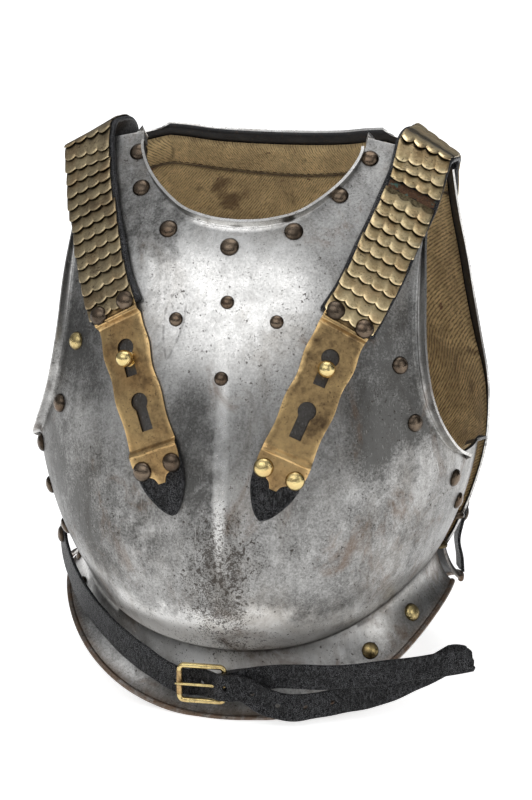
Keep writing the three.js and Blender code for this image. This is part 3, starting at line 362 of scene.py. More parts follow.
# The straps' ways over the plates, as shares of the half width and the height.
STRAP = [[0.722, 0.932], [0.702, 0.9], [0.652, 0.846], [0.597, 0.787], [0.55, 0.743], [0.49, 0.696],
         [0.43, 0.63], [0.35, 0.546], [0.27, 0.462], [0.2, 0.385]]
STRAP_DRIFT, STRAP_PLACES = 0.03, 25
REAR_STRAP = [[0.72, 0.84], [0.73, 0.87], [0.74, 0.9]]
SHOULDER_TOPS = {"breast": (0.735, 0.965), "back": (0.74, 0.943)}
SHOULDER_TILT, EDGE_RISE, SHOULDER_BOW = 0.42, 3.2, 5
STRAP_WIDTH, STRAP_THICKNESS, SCALE_WIDTH = 47, 4, 43
REST_GAP, FIT_GAP, SCALE_GAP = 0.5, 0.3, 0.95
HOOK_LENGTH, HOOK_RIDGE, HOOK_HALF_WIDTH, HOOK_THICKNESS = 134, 107, 20.4, 1.2
HOOK_TAB, HOOK_STEP, HOOK_RIVET_INSET, UPPER_RIVET, LOWER_RIVET = 19.5, 4, 13, 7.2, 121
HOOK_WIDTHS = [[0, 0.97], [0.08, 0.95], [0.2, 1.02], [0.34, 0.92], [0.48, 1], [0.64, 0.93], [0.8, 1],
               [0.86, 1], [0.9, 0.93], [0.93, 0.72], [0.96, 0.3], [1, 0.14]]
KEY_RADIUS, KEY_SLOT, KEY_LENGTH, KEY_PITCH, FIRST_KEY = 7.2, 9.8, 23, 44, 25
STUD_RADIUS, STUD_SHANK, STUD_TRAVEL, STUD_RISE = 6.8, 3.8, 9.4, 7.4
TAB_THICKNESS, TAB_REACH, TAB_HALF_WIDTH = 3, 26, 19
TAB_WIDTHS = [[0, 0.97], [0.3, 1.02], [0.55, 0.9], [0.8, 0.58], [0.93, 0.32], [1, 0.08]]
LEATHER_TOP = REST_GAP + STRAP_THICKNESS
SCALE_BASE = LEATHER_TOP + SCALE_GAP
TAB_TOP = LEATHER_TOP + FIT_GAP
TAIL_TOP = REST_GAP + TAB_THICKNESS + FIT_GAP
SCALE_LAP, SCALE_THICKNESS, SCALE_COLUMNS, SCALE_SLIP, SCALE_SWAY = 4.6, 0.75, 48, 0.9, 0.012
LEFT_SWELL, RIGHT_SWELL, SCALE_RISE, REAR_RISE = 1.05, 0.6, 1.9, 0.8
REAR_BARE, REAR_ANCHOR, FRONT_SCALES, REAR_SCALES, MISSING_SCALE = 20, 8, 14, 4, 4

# The belt's places: angle round the plate, stand-off over the waist's spread, height over the side waist's.
BELT_WIDTH, BELT_THICKNESS, BELT_ROUNDING, CHAPE_WIDTH = 22, 2.6, 0.9, 20
BELT_HOLE_PITCH, BELT_HOLES, HOLE_RADIUS, PRONG_HOLE_RADIUS, POINT_LENGTH, POINT_SHARE = 22, 6, 2.1, 1.9, 12, 0.16
BUCKLE_LENGTH, BUCKLE_HEIGHT, BUCKLE_CORNER, BUCKLE_BAR, SLEEVE_RADIUS, TONGUE_RADIUS = 36, 29, 4, 1.9, 2.35, 1.4
LOOP_RADIUS, HIP_TAB, HIP_RIVET = 4.6, 24, 11
BUCKLE = [0.004, 1.238, 0.324]
BILLET_START = [[-1.352, 0.18, 1.207], [-1.285, 0.5, 1.008], [-1.12, 0.483, 0.842],
                [-0.905, 0.507, 0.717], [-0.621, 0.766, 0.56], [-0.421, 0.978, 0.444]]
BILLET_END = [[0.186, 1.486, 0.213], [0.3, 1.488, 0.166], [0.415, 1.376, 0.166], [0.567, 1.308, 0.19],
              [0.783, 1.383, 0.24], [0.938, 1.678, 0.342], [1.082, 2.515, 0.541]]
CHAPE = [[0.086, 1.301, 0.37], [0.213, 1.415, 0.425], [0.336, 1.559, 0.439], [0.47, 1.622, 0.43],
         [0.683, 1.586, 0.421], [0.915, 1.984, 0.439], [1.054, 2.921, 0.499]]
WEAVE = [[-1, -1.065], [-0.5, -0.848], [0, 1.196], [0.42, 0.957]]
STUB = [[1.3, 0.06, 1.315], [1.34, 0.12, 1.17], [1.372, 0.32, 1.004], [1.39, 0.45, 0.847], [1.382, 0.495, 0.715]]
STUB_WIDTH, STUB_RIVET = 20, 10

# Rivet places on the plates as shares of the half width and the height, and on the skirt as places in its grid.
BREAST_RIVETS = [[-0.51, 0.965], [-0.47, 0.91], [-0.315, 0.851], [-0.032, 0.829], [0.236, 0.855], [0.411, 0.91],
                 [0.52, 0.966], [-0.791, 0.535], [-0.93, 0.435], [-0.9, 0.352], [-0.83, 0.275], [0.716, 0.634],
                 [0.785, 0.532], [0.935, 0.405], [0.935, 0.345], [0.93, 0.285]]
BRASS_RIVETS = [[-0.712, 0.65], [0.865, 0.225]]
CREST_RIVETS = [[-0.016, 0.743], [-0.236, 0.711], [0.202, 0.714], [-0.017, 0.621]]
BACK_RIVETS = [[0.16, 0.91], [0.36, 0.918], [0.54, 0.93], [0.74, 0.66], [0.93, 0.47],
               [0.95, 0.385], [0.92, 0.3], [0.8, 0.22]]
SKIRT_RIVETS = [[5, 11], [5, 22]]
BRASS_SKIRT_RIVETS = [[5, 104], [5, 92]]
CREST_RADIUS_SHARE, CREST_HEIGHT_SHARE = 0.75, 0.884
BELT_RIVET_RADIUS, BELT_RIVET_HEIGHT, ANCHOR_RADIUS, HOOK_RIVET_HEIGHT = 7, 3.6, 6.6, 5.0
# How far the heads reach down to the plate, the belt's parts and the hook plate
PLATE_ROOT, BELT_ROOT, HOOK_ROOT = -1.5, -3, -0.4


def strap_path(side):
    """The strap's way from the backplate over the shoulder and down the chest."""
    drift = STRAP_DRIFT if side > 0 else 0
    way = np.array(STRAP, float)
    way[:, 0] -= drift * np.arange(len(way)) / (len(way) - 1)
    fine = spline(way, np.linspace(0, 1, 201))
    reach = reach_along(fine)
    front = read_along(reach, fine, np.linspace(0, reach[-1], STRAP_PLACES))
    upwards = np.array([side * math.sin(SHOULDER_TILT), 0, math.cos(SHOULDER_TILT)])

    def on_edge(plate, shares):
        point, normal = on_plate(plate, side * shares[0], shares[1])
        return point + upwards * EDGE_RISE, unit(normal + upwards)

    rear = [on_plate(BACK, side * x, z) for x, z in REAR_STRAP]
    chest = [on_plate(BREAST, side * x, z) for x, z in front]
    first, last = on_edge(BREAST, SHOULDER_TOPS["breast"]), on_edge(BACK, SHOULDER_TOPS["back"])
    top = ((last[0] + first[0]) / 2 + upwards * SHOULDER_BOW, unit(last[1] + first[1]))
    places = [*rear, last, top, first, *chest]
    return Path([p for p, _ in places], [n for _, n in places])


def beside(plate, place):
    """A place beside a plate at its waist, with the level way out of the plate there."""
    angle, stand, share = place
    z = share * (WAIST_HEIGHT + HIP_RISE)
    step = 0.05

    def face_at(a):
        return plate_point(plate, a, max(z, WAIST_HEIGHT + HIP_RISE * float(hip_way(a))))

    ahead = face_at(angle + step) - face_at(angle - step)
    ahead[2] = 0
    ahead = unit(ahead)
    normal = np.array([ahead[1], -ahead[0], 0]) * -plate["facing"]
    point = face_at(angle) + normal * stand * WAIST_SPREAD
    point[2] = z
    return point, normal


def upright_path(points):
    """A way along standing leather: its outward normals lie level."""
    points = np.array(points, float)
    ahead = unit(np.gradient(points, axis=0))
    return Path(points, unit(np.cross(ahead, UPRIGHT)), 1201)


def belt_points(places):
    return [beside(BREAST, place)[0] for place in places]


def buckle_point():
    return beside(BREAST, BUCKLE)[0]


def billet_path():
    weave = [buckle_point() + [share * BUCKLE_LENGTH, -out * LOOP_RADIUS, 0] for share, out in WEAVE]
    return upright_path([*belt_points(BILLET_START), *weave, *belt_points(BILLET_END)])


def stub_path():
    places = [beside(BACK, place) for place in STUB]
    return Path([p for p, _ in places], [n for _, n in places])


# Meshes from grids, rings and profiles, in millimetres of the plates' own axes.
def grid_faces(rows, columns, start=0, ring=False, flip=False):
    faces = []
    for j in range(rows - 1):
        for i in range(columns if ring else columns - 1):
            a, b = start + j * columns + i, start + j * columns + (i + 1) % columns
            c, d = b + columns, a + columns
            faces.append((a, d, c, b) if flip else (a, b, c, d))
    return faces


def sheet(outer, inner):
    """Points and faces of a closed sheet between two grids: the outer face's first, then the inner's."""
    rows, columns = outer.shape[:2]
    n = rows * columns
    faces = grid_faces(rows, columns) + grid_faces(rows, columns, n, flip=True)
    order = np.arange(n).reshape(rows, columns)
    edge = [*order[0], *order[1:, -1], *order[-1, -2::-1], *order[-2:0:-1, 0]]
    faces += [(b, a, a + n, b + n) for a, b in zip(edge, edge[1:] + edge[:1])]
    return np.concatenate([outer.reshape(-1, 3), inner.reshape(-1, 3)]), faces


def twice(rows):
    """One grid's values for both faces of a sheet."""
    rows = np.asarray(rows, float)
    return np.concatenate([rows.reshape(-1, *rows.shape[2:])] * 2)


def sweep(rings):
    """Points and faces of a closed form through rings of points, capped at both ends."""
    rings = np.asarray(rings, float)
    count, sides = rings.shape[:2]
    faces = grid_faces(count, sides, ring=True)
    faces.append(tuple(range(sides - 1, -1, -1)))
    faces.append(tuple((count - 1) * sides + i for i in range(sides)))
    return rings.reshape(-1, 3), faces


def rounded_section(half_width, thickness, corner, columns=8, steps=3):
    """(sideways, lift) points round a flat bar with rounded corners."""
    corner = min(corner, half_width * 0.98, thickness / 2 * 0.98)
    points = []
    for cx, cz, start in ((half_width - corner, thickness - corner, 0), (corner - half_width, thickness - corner, 1),
                          (corner - half_width, corner, 2), (half_width - corner, corner, 3)):
        turns = (start + np.linspace(0, 1, steps + 1)) * QUARTER
        points += [(cx + corner * math.cos(a), cz + corner * math.sin(a)) for a in turns]
        if start in (0, 2):
            way = (half_width - corner) * np.linspace(1, -1, columns + 1)[1:-1] * (1 if start == 0 else -1)
            points += [(w, thickness if start == 0 else 0) for w in way]
    return np.array(points)


def leather_band(path, stations, half_width, lift, thickness, rounding, columns):
    """A flat strap along a path with rounded edges and ends. The half width is a function of distance."""
    rings = []
    start, end, turns = stations[0], stations[-1], np.linspace(0.2, QUARTER, 4)
    eased = [(start + rounding * (1 - math.cos(a)), math.sin(a)) for a in turns]
    eased += [(d, 1) for d in stations if start + 1.5 * rounding < d < end - 1.5 * rounding]
    eased += [(end - rounding * (1 - math.cos(a)), math.sin(a)) for a in np.linspace(QUARTER, 0.2, 4)]
    for d, full in eased:
        shrink = rounding * (1 - full)
        thinner = min(shrink, thickness * 0.45)
        section = rounded_section(half_width(d) - shrink, thickness - 2 * thinner, rounding, columns)
        rings.append(path.place(d, section[:, 0], lift + thinner + section[:, 1]))
    return sweep(rings)


def tube(points, radius, sides=12, closed=False):
    """A round bar through points. The radius may change along it."""
    points = np.asarray(points, float)
    n = len(points)
    if closed:
        ahead = unit(np.roll(points, -1, 0) - np.roll(points, 1, 0))
    else:
        ahead = unit(np.gradient(points, axis=0))
    side = UPRIGHT.copy() if abs(ahead[0][2]) < 0.9 else np.array([1.0, 0, 0])
    rings = []
    radius = np.broadcast_to(np.asarray(radius, float), (n,))
    turns = np.linspace(0, 4 * QUARTER, sides, endpoint=False)
    for k in range(n):
        side = unit(side - side.dot(ahead[k]) * ahead[k])
        other = np.cross(ahead[k], side)
        rings.append(points[k] + radius[k] * (np.cos(turns)[:, None] * side + np.sin(turns)[:, None] * other))
    if not closed:
        return sweep(rings)
    rings = np.array(rings + rings[:1])
    flat = rings[:-1].reshape(-1, 3)
    faces = [tuple(v % len(flat) for v in f) for f in grid_faces(n + 1, sides, ring=True)]
    return flat, faces


def lathe(profile, sides):
    """Points and faces of a turned piece standing on the origin, from (radius, height) pairs, axis to axis."""
    rings = [(r, h) for r, h in profile if r > 1e-6]
    turns = np.linspace(0, 4 * QUARTER, sides, endpoint=False)
    points = [(r * math.cos(a), r * math.sin(a), h) for r, h in rings for a in turns]
    faces = grid_faces(len(rings), sides, ring=True)
    low, high = len(points), len(points) + 1
    points += [(0, 0, profile[0][1]), (0, 0, profile[-1][1])]
    faces += [((i + 1) % sides, i, low) for i in range(sides)]
    last = (len(rings) - 1) * sides
    faces += [(last + i, last + (i + 1) % sides, high) for i in range(sides)]
    return np.array(points), faces


def joined(*parts):
    """Several (points, faces) pairs as one."""
    points, faces = [], []
    for p, f in parts:
        start = sum(len(q) for q in points)
        points.append(np.asarray(p, float))
        faces += [tuple(v + start for v in face) for face in f]
    return np.concatenate(points), faces


def linked(name, data):
    """A new object in the scene."""
    obj = bpy.data.objects.new(name, data)
    bpy.context.scene.collection.objects.link(obj)
    return obj


def mesh_object(name, points, faces, attributes=None, materials=(), face_materials=None, sharp=SHARP, local=False):
    """An object with its place in its mesh, smooth but for its sharp edges, faces outwards."""
    points = np.asarray(points, float)
    placed = points * MM if local else (points - MIDDLE) * MM
    mesh = bpy.data.meshes.new(name)
    mesh.from_pydata(placed.tolist(), [], [tuple(int(v) for v in f) for f in faces])
    for key, values in (attributes or {}).items():
        kind = "FLOAT2" if np.ndim(values) == 2 else "FLOAT"
        layer = mesh.attributes.new(key, kind, "POINT")
        layer.data.foreach_set("vector" if kind == "FLOAT2" else "value", np.asarray(values, float).ravel())
    for material in materials:
        mesh.materials.append(material)
    if face_materials is not None:
        mesh.polygons.foreach_set("material_index", np.asarray(face_materials, int))
    form = bmesh.new()
    form.from_mesh(mesh)
    bmesh.ops.recalc_face_normals(form, faces=form.faces)
    form.to_mesh(mesh)
    form.free()
    mesh.shade_smooth()
    mesh.set_sharp_from_angle(angle=sharp)
    mesh.update()
    return linked(name, mesh)


def baked(obj):
    """The object with its modifiers turned into a plain mesh."""
    bpy.context.view_layer.update()
    graph = bpy.context.evaluated_depsgraph_get()
    mesh = bpy.data.meshes.new_from_object(obj.evaluated_get(graph))
    obj.modifiers.clear()
    old = obj.data
    obj.data = mesh
    bpy.data.meshes.remove(old)
    mesh.name = obj.name
    return obj


def remove(*objs):
    for obj in objs:
        mesh = obj.data
        bpy.data.objects.remove(obj)
        bpy.data.meshes.remove(mesh)


def cut(obj, *cutters):
    """The object with the cutters' forms taken out of it."""
    for cutter in cutters:
        tool = obj.modifiers.new("Cut", "BOOLEAN")
        tool.operation, tool.solver, tool.object = "DIFFERENCE", "EXACT", cutter
    baked(obj)
    obj.data.set_sharp_from_angle(angle=SHARP)
    remove(*cutters)
    return obj


def settle(obj, body, slot, *nodes):
    """A finished piece: it rides on a body and stands for CAD nodes. Its slot is not used."""
    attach(obj, body)
    if nodes:
        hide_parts(*nodes)
    return obj


class Nodes:
    """Adds nodes to a tree and links their sockets as they are named."""

    def __init__(self, tree):
        self.tree = tree

    def add(self, kind, inputs=None, **settings):
        node = self.tree.nodes.new(kind)
        for key, value in settings.items():
            setattr(node, key, value)
        for key, value in (inputs or {}).items():
            self.feed(node.inputs[key], value)
        return node

    def feed(self, socket, value):
        if isinstance(value, bpy.types.NodeSocket):
            self.tree.links.new(value, socket)
        else:
            socket.default_value = value

    def math(self, operation, a, b=0.0, clamp=False):
        return self.add("ShaderNodeMath", {0: a, 1: b}, operation=operation, use_clamp=clamp).outputs[0]

    def times(self, a, b):
        return self.math("MULTIPLY", a, b)

    def plus(self, a, b, clamp=False):
        return self.math("ADD", a, b, clamp)

    def minus(self, a, b, clamp=False):
        return self.math("SUBTRACT", a, b, clamp)

    def most(self, a, b):
        return self.math("MAXIMUM", a, b)

    def weighed(self, *pairs, clamp=False):
        """The sum of values times their weights, kept from 0 to 1 where it is clamped."""
        terms = [self.times(value, weight) for value, weight in pairs]
        total = terms[0]
        for term in terms[1:]:
            total = self.plus(total, term, clamp and term is terms[-1])
        return total

    def vector(self, operation, inputs, output=0):
        return self.add("ShaderNodeVectorMath", inputs, operation=operation).outputs[output]

    def split(self, vector):
        return self.add("ShaderNodeSeparateXYZ", {0: vector}).outputs

    def remap(self, value, low, high, to_low=0.0, to_high=1.0):
        inputs = {"Value": value, "From Min": low, "From Max": high, "To Min": to_low, "To Max": to_high}
        return self.add("ShaderNodeMapRange", inputs, interpolation_type="SMOOTHSTEP").outputs["Result"]

    def noise(self, vector, scale, detail=4.0, roughness=0.55, distortion=0.0):
        inputs = {"Vector": vector, "Scale": scale, "Detail": detail, "Roughness": roughness,
                  "Distortion": distortion}
        return self.add("ShaderNodeTexNoise", inputs).outputs["Fac"]

    def stretch(self, vector, scale, turn=(0, 0, 0)):
        inputs = {"Vector": vector, "Scale": scale, "Rotation": turn}
        return self.add("ShaderNodeMapping", inputs).outputs["Vector"]

    def blend(self, share, a, b, mode="MIX"):
        inputs = {"Factor": share, 6: a, 7: b}
        return self.add("ShaderNodeMix", inputs, data_type="RGBA", blend_type=mode).outputs[2]

    def layers(self, base, *coats):
        """The base under coats of (mask, colour), laid on in turn."""
        for share, coat in coats:
            base = self.blend(share, base, coat)
        return base

    def bump(self, height, distance, strength):
        inputs = {"Height": height, "Distance": distance, "Strength": strength}
        return self.add("ShaderNodeBump", inputs).outputs["Normal"]

    def attribute(self, name, output="Fac"):
        return self.add("ShaderNodeAttribute", attribute_name=name).outputs[output]

    def group(self, tree, **inputs):
        return self.add("ShaderNodeGroup", inputs, node_tree=tree).outputs


FLOAT, VECTOR = "NodeSocketFloat", "NodeSocketVector"


def shader_group(name, inputs, outputs):
    """A new shader node group of numbers made from a vector, with a helper for its inside."""
    tree = bpy.data.node_groups.new(name, "ShaderNodeTree")
    tree.interface.new_socket("Vector", in_out="INPUT", socket_type=VECTOR)
    for label, default in inputs.items():
        tree.interface.new_socket(label, in_out="INPUT", socket_type=FLOAT).default_value = default
    for label in outputs:
        tree.interface.new_socket(label, in_out="OUTPUT", socket_type=FLOAT)
    nodes = Nodes(tree)
    return tree, nodes, nodes.add("NodeGroupInput").outputs, nodes.add("NodeGroupOutput").inputs


def pits_group():
    """Small sharp-edged pits, denser where Density is high."""
    tree, n, given, out = shader_group("Pits", {"Scale": 900.0, "Density": 0.3}, ["Mask"])
    fine = n.noise(given["Vector"], given["Scale"], 3.0, 0.6)
    patches = n.noise(given["Vector"], n.times(given["Scale"], 0.09), 4.0, 0.65)
    level = n.minus(0.78, n.times(patches, given["Density"]))
    n.feed(out["Mask"], n.remap(n.minus(fine, level), 0.0, 0.05))
    return tree


def mottle_group():
    """Soft tarnish in two sizes, from 0 to 1."""
    tree, n, given, out = shader_group("Mottle", {"Scale": 20.0}, ["Tone", "Fine"])
    broad = n.noise(given["Vector"], given["Scale"], 5.0, 0.6, 0.4)
    small = n.noise(given["Vector"], n.times(given["Scale"], 6.5), 5.0, 0.65, 0.2)
    n.feed(out["Tone"], n.remap(n.weighed((broad, 0.65), (small, 0.35)), 0.34, 0.66))
    n.feed(out["Fine"], n.remap(small, 0.3, 0.7))
    return tree


def grain_group():
    """The crazed grain of old leather: a height, high on the grain and low in its creases."""
    tree, n, given, out = shader_group("Leather grain", {"Scale": 500.0}, ["Height"])
    warp = n.add("ShaderNodeTexNoise", {"Vector": given["Vector"], "Scale": 160.0, "Detail": 2.0}).outputs["Color"]
    pulled = n.vector("ADD", {0: given["Vector"], 1: n.vector("SCALE", {0: warp, 3: 0.0012})})
    cells = n.add("ShaderNodeTexVoronoi", {"Vector": pulled, "Scale": given["Scale"]},
                  feature="DISTANCE_TO_EDGE").outputs["Distance"]
    rough = n.noise(given["Vector"], n.times(given["Scale"], 1.8), 4.0, 0.6)
    n.feed(out["Height"], n.weighed((n.remap(cells, 0.02, 0.2), 0.7), (rough, 0.3)))
    return tree


def twill_group():
    """Diagonal twill on a map in metres: a height, and a tone that differs from yarn to yarn."""
    tree, n, given, out = shader_group("Twill", {"Pitch": 0.0016, "Slant": 0.8}, ["Height", "Tone"])
    turned = n.add("ShaderNodeVectorRotate", {"Vector": given["Vector"], "Angle": given["Slant"]},
                   rotation_type="Z_AXIS").outputs[0]
    parts = n.split(turned)

    def wave(way, pitch):
        return n.math("ABSOLUTE", n.math("SINE", n.times(n.math("DIVIDE", way, pitch), math.pi)))

    sway = n.times(n.noise(given["Vector"], 220.0, 3.0), 0.0011)
    wale = wave(n.plus(parts[0], sway), given["Pitch"])
    thread = wave(parts[1], n.times(given["Pitch"], 0.6))
    n.feed(out["Height"], n.weighed((wale, 0.75), (thread, 0.25)))
    slubs = n.noise(n.stretch(turned, (700.0, 160.0, 1.0)), 1.0, 3.0, 0.7)
    n.feed(out["Tone"], n.remap(slubs, 0.3, 0.7))
    return tree


def start_material(name):
    """A new material, a helper for its nodes, a setter of its shader's sockets and the place on the object."""
    material = bpy.data.materials.new(name)
    material.use_nodes = True
    material.node_tree.nodes.clear()
    n = Nodes(material.node_tree)
    shader = n.add("ShaderNodeBsdfPrincipled")
    n.add("ShaderNodeOutputMaterial", {"Surface": shader.outputs[0]})

    def shade(**values):
        for key, value in values.items():
            n.feed(shader.inputs[key.replace("_", " ")], value)

    return material, n, shade, n.add("ShaderNodeTexCoord").outputs["Object"]


# Fixed tones of dirt and wear, and dark tones of painted shade and shadow.
GLAZE, RUST_PIT, UNDER_PLATE_SHADOW = (0.3, 0.255, 0.2, 1), (0.05, 0.038, 0.03, 1), (0.035, 0.028, 0.022, 1)
FOLD_SHADE, SHADE, OUTLINE = (0.035, 0.03, 0.026, 1), (0.05, 0.049, 0.046, 1), (0.09, 0.085, 0.08, 1)
BLUSH, BROWN_SPOT, BRASS_CREVICE_SHADE = (0.75, 0.55, 0.42, 1), (0.05, 0.03, 0.02, 1), (0.016, 0.012, 0.008, 1)
FRECKLE, SEAM_GRIME = (0.13, 0.035, 0.02, 1), (0.05, 0.03, 0.015, 1)
RAW_FIBRE, THREAD_DIRT = (0.035, 0.018, 0.01, 1), (0.06, 0.04, 0.02, 1)

# Oval zones of the breastplate in a front view, in metres: (across, up) of the middle and of the reach.
# Painted highlight on the upper chest.
CHEST_HIGHLIGHT = ((-0.015, 0.335), (0.095, 0.075))
# Painted highlight along the crest.
CREST_HIGHLIGHT = ((-0.0035, 0.205), (0.0065, 0.08))
# Painted shadow beside the crest, next to a hook plate.
CREST_SIDE_SHADOW = ((-0.026, 0.222), (0.024, 0.06))
# Painted reflection that lightens the low belly above the fold.
LOW_BELLY_REFLECTION = ((0.0, 0.062), (0.13, 0.034))
# Painted dark reflections and shade, each with its strength.
PAINTED_DARK_ZONES = [((-0.085, 0.4), (0.055, 0.06), 1.0), ((0.118, 0.26), (0.04, 0.085), 1.0),
              ((-0.026, 0.222), (0.025, 0.07), 0.8), ((-0.105, 0.165), (0.05, 0.075), 0.8),
              ((0.07, 0.14), (0.07, 0.06), 0.45)]
DROP_MIDDLE, DROP_TOP, DROP_LENGTH, DROP_WIDTH, DROP_LEAN = -0.045, 0.335, 0.05, 0.021, 0.006


def patch(n, across, up, middle, reach):
    """A soft-edged oval zone in a front view, from 1 inside to 0 outside."""
    dx, dz = (n.math("DIVIDE", n.minus(way, at), size) for way, at, size in zip((across, up), middle, reach))
    return n.remap(n.plus(n.times(dx, dx), n.times(dz, dz)), 1.2, 0.1)


def drop_outline(n, axes, fine):
    """A faint dark line round a drop-shaped stain left of the middle, and its thin tail."""
    down = n.math("DIVIDE", n.minus(DROP_TOP, axes[2]), DROP_LENGTH)
    lean = n.plus(n.minus(axes[0], DROP_MIDDLE), n.times(down, DROP_LEAN))
    share = n.plus(down, 0.0, clamp=True)
    half = n.times(n.times(n.math("SQRT", share), n.minus(1.0, share)), DROP_WIDTH)
    off = n.math("ABSOLUTE", n.minus(n.math("ABSOLUTE", lean), half))
    line = n.remap(n.plus(off, n.times(fine, 0.0008)), 0.0016, 0.0006)
    return n.times(line, n.times(n.remap(down, -0.04, 0.03), n.remap(down, 1.35, 1.2)))


def under_plate_shadow(n, axes, side):
    """The painted shadow on the steel under a hook plate, in a front view."""
    path, _, fold = strap_facts(side)
    start, end = (path.frame(fold + d)[0] - MIDDLE for d in (8, HOOK_RIDGE - 8))
    start[1] = end[1] = 0
    flat = n.add("ShaderNodeCombineXYZ", {0: axes[0], 2: axes[2]}).outputs[0]
    reach = (end - start) * MM
    from_start = n.vector("SUBTRACT", {0: flat, 1: tuple(start * MM)})
    along_it = n.vector("DOT_PRODUCT", {0: from_start, 1: tuple(reach / reach.dot(reach))}, "Value")
    foot = n.vector("SCALE", {0: tuple(reach), 3: n.plus(along_it, 0.0, clamp=True)})
    return n.remap(n.vector("DISTANCE", {0: from_start, 1: foot}, "Value"), 0.015, 0.009)


def steel_material(name, groups, bright, dark, rust):
    """Old polished steel, pitted below the chest, with painted highlights on the chest and crest, a painted
    reflection on the low belly and painted dark reflections towards the shoulders and one side.
    """
    material, n, shade, place = start_material(name)
    axes = n.split(place)
    mottle = n.group(groups["mottle"], Vector=place, Scale=16.0)
    fine = mottle["Fine"]
    sway = n.times(n.minus(mottle["Tone"], 0.5), 0.018)
    across, height = n.plus(axes[0], sway), n.minus(axes[2], sway)
    front = n.remap(axes[1], -0.02, -0.07)

    def zone(oval, sideways=across):
        return n.times(patch(n, sideways, height, *oval), front)

    # Painted dark reflections: darker towards one side and in the dark zones.
    painted_darkening = n.remap(across, -0.085, -0.15, 0.0, 0.7)
    for middle, reach, strength in PAINTED_DARK_ZONES:
        painted_darkening = n.most(painted_darkening, n.times(patch(n, across, height, middle, reach), strength))
    # Painted reflection on the low belly, which also makes it a little rougher.
    low_belly_reflection = zone(LOW_BELLY_REFLECTION)
    streaks = n.noise(n.stretch(place, (22.0, 22.0, 5.0), (0.0, 0.5, 0.2)), 5.0, 6.0, 0.65)
    # The tone carries the painted highlights, the painted reflection and the painted dark reflections.
    tone = n.weighed((mottle["Tone"], 0.3), (streaks, 0.38), (zone(CHEST_HIGHLIGHT), 0.38),
                     (zone(CREST_HIGHLIGHT, axes[0]), 0.5), (n.times(painted_darkening, front), -0.36), (low_belly_reflection, 0.9))
    grit = n.remap(n.noise(place, 520.0, 5.0, 0.8), 0.3, 0.7, -0.16, 0.16)
    # Edge lightens the worn lips, and the skirt below the fold as a painted reflection.
    tone = n.plus(n.plus(tone, grit), n.times(n.attribute("edge"), 0.5), clamp=True)
    glaze = n.remap(n.noise(n.stretch(place, (1.0, 1.0, 0.45)), 19.0, 6.0, 0.7, 0.8), 0.42, 0.7, 0.0, 0.5)
    stain = n.noise(n.stretch(place, (1.0, 1.0, 0.7)), 24.0, 6.0, 0.7, 0.6)
    stained = n.remap(n.plus(stain, n.times(n.remap(height, 0.24, 0.08), 0.06)), 0.56, 0.74, 0.0, 0.6)
    stained = n.most(stained, n.times(n.attribute("rust"), n.remap(fine, 0.0, 0.7, 0.3, 0.85)))
    belly = n.times(n.remap(n.math("ABSOLUTE", n.plus(across, 0.006)), 0.05, 0.0),
                    n.times(n.remap(height, 0.2, 0.14), n.remap(height, 0.03, 0.07)))
    density = n.plus(0.29, n.times(n.times(belly, front), 0.27))
    small = n.group(groups["pits"], Vector=place, Scale=900.0, Density=density)["Mask"]
    turned = n.stretch(place, (1.0, 1.0, 0.9), (0.3, 0.1, 0.5))
    large = n.group(groups["pits"], Vector=turned, Scale=330.0, Density=n.times(density, 0.85))["Mask"]
    pits = n.most(n.times(small, 0.85), large)
    hair = n.noise(n.stretch(place, (900.0, 900.0, 40.0), (0.15, 0.1, 0.0)), 1.0, 3.0, 0.7)
    drop = n.times(drop_outline(n, axes, fine), front)
    base = n.layers(
        n.blend(glaze, n.blend(tone, dark, bright), GLAZE, "MULTIPLY"),
        (stained, rust),
        (n.times(pits, 0.72), RUST_PIT),
        # Painted shadow on the steel under the hook plates, seen through the keyholes.
        *((n.times(n.times(under_plate_shadow(n, axes, side), front), 0.8), UNDER_PLATE_SHADOW) for side in (1, -1)),
        # Painted shade along the waist fold.
        (n.times(n.attribute("deep"), n.remap(fine, 0.0, 1.0, 0.95, 0.65)), FOLD_SHADE),
        # Painted shadow beside the crest.
        (n.times(zone(CREST_SIDE_SHADOW), 0.3), SHADE),
        (n.times(drop, n.remap(fine, 0.2, 0.9, 0.4, 0.05)), OUTLINE),
        (n.remap(hair, 0.6, 0.72, 0.0, 0.22), bright))
    rough = n.weighed((n.remap(tone, 0.0, 1.0, 0.42, 0.26), 1.0), (stained, 0.2), (low_belly_reflection, 0.22), (pits, 0.25),
                      clamp=True)
    level = n.plus(n.minus(n.times(mottle["Tone"], 0.25), pits), n.times(hair, 0.08))
    shade(Base_Color=base, Metallic=1.0, Roughness=rough, Normal=n.bump(level, 0.0003, 0.6))
    return material


def brass_material(name, groups, bright, dark, shine, patina, scale, spotted, worn):
    """Handled brass: warm metal under a brown tarnish that is worn off its raised places, lightened on the scales'
    lobes by a painted highlight, with painted shade in its crevices and round the feet of its heads.
    """
    material, n, shade, place = start_material(name)
    mottle = n.group(groups["mottle"], Vector=place, Scale=scale)
    tone = n.weighed((mottle["Tone"], patina), (n.attribute("tone"), 0.25))
    tarnish = n.minus(tone, n.times(n.attribute("edge"), worn), clamp=True)
    blush = n.remap(n.noise(place, scale * 0.9, 4.0, 0.6), 0.45, 0.65, 0.0, 0.35)
    spots = n.group(groups["pits"], Vector=place, Scale=500.0, Density=spotted)["Mask"]
    # Painted shade in the scales' crevices and round the rivets' feet.
    grime = n.times(n.attribute("deep"), n.remap(mottle["Fine"], 0.0, 1.0, 1.0, 0.75))
    base = n.layers(n.blend(blush, n.blend(tarnish, bright, dark), BLUSH, "MULTIPLY"),
                    (n.times(spots, 0.6), BROWN_SPOT), (n.times(grime, 0.93), BRASS_CREVICE_SHADE))
    level = n.minus(n.weighed((mottle["Tone"], 0.5), (mottle["Fine"], 0.3)), spots)
    shade(Base_Color=base, Metallic=1.0, Roughness=n.remap(tarnish, 0.0, 1.0, shine, shine + 0.22),
          Normal=n.bump(level, 0.00035, 0.5))
    return material


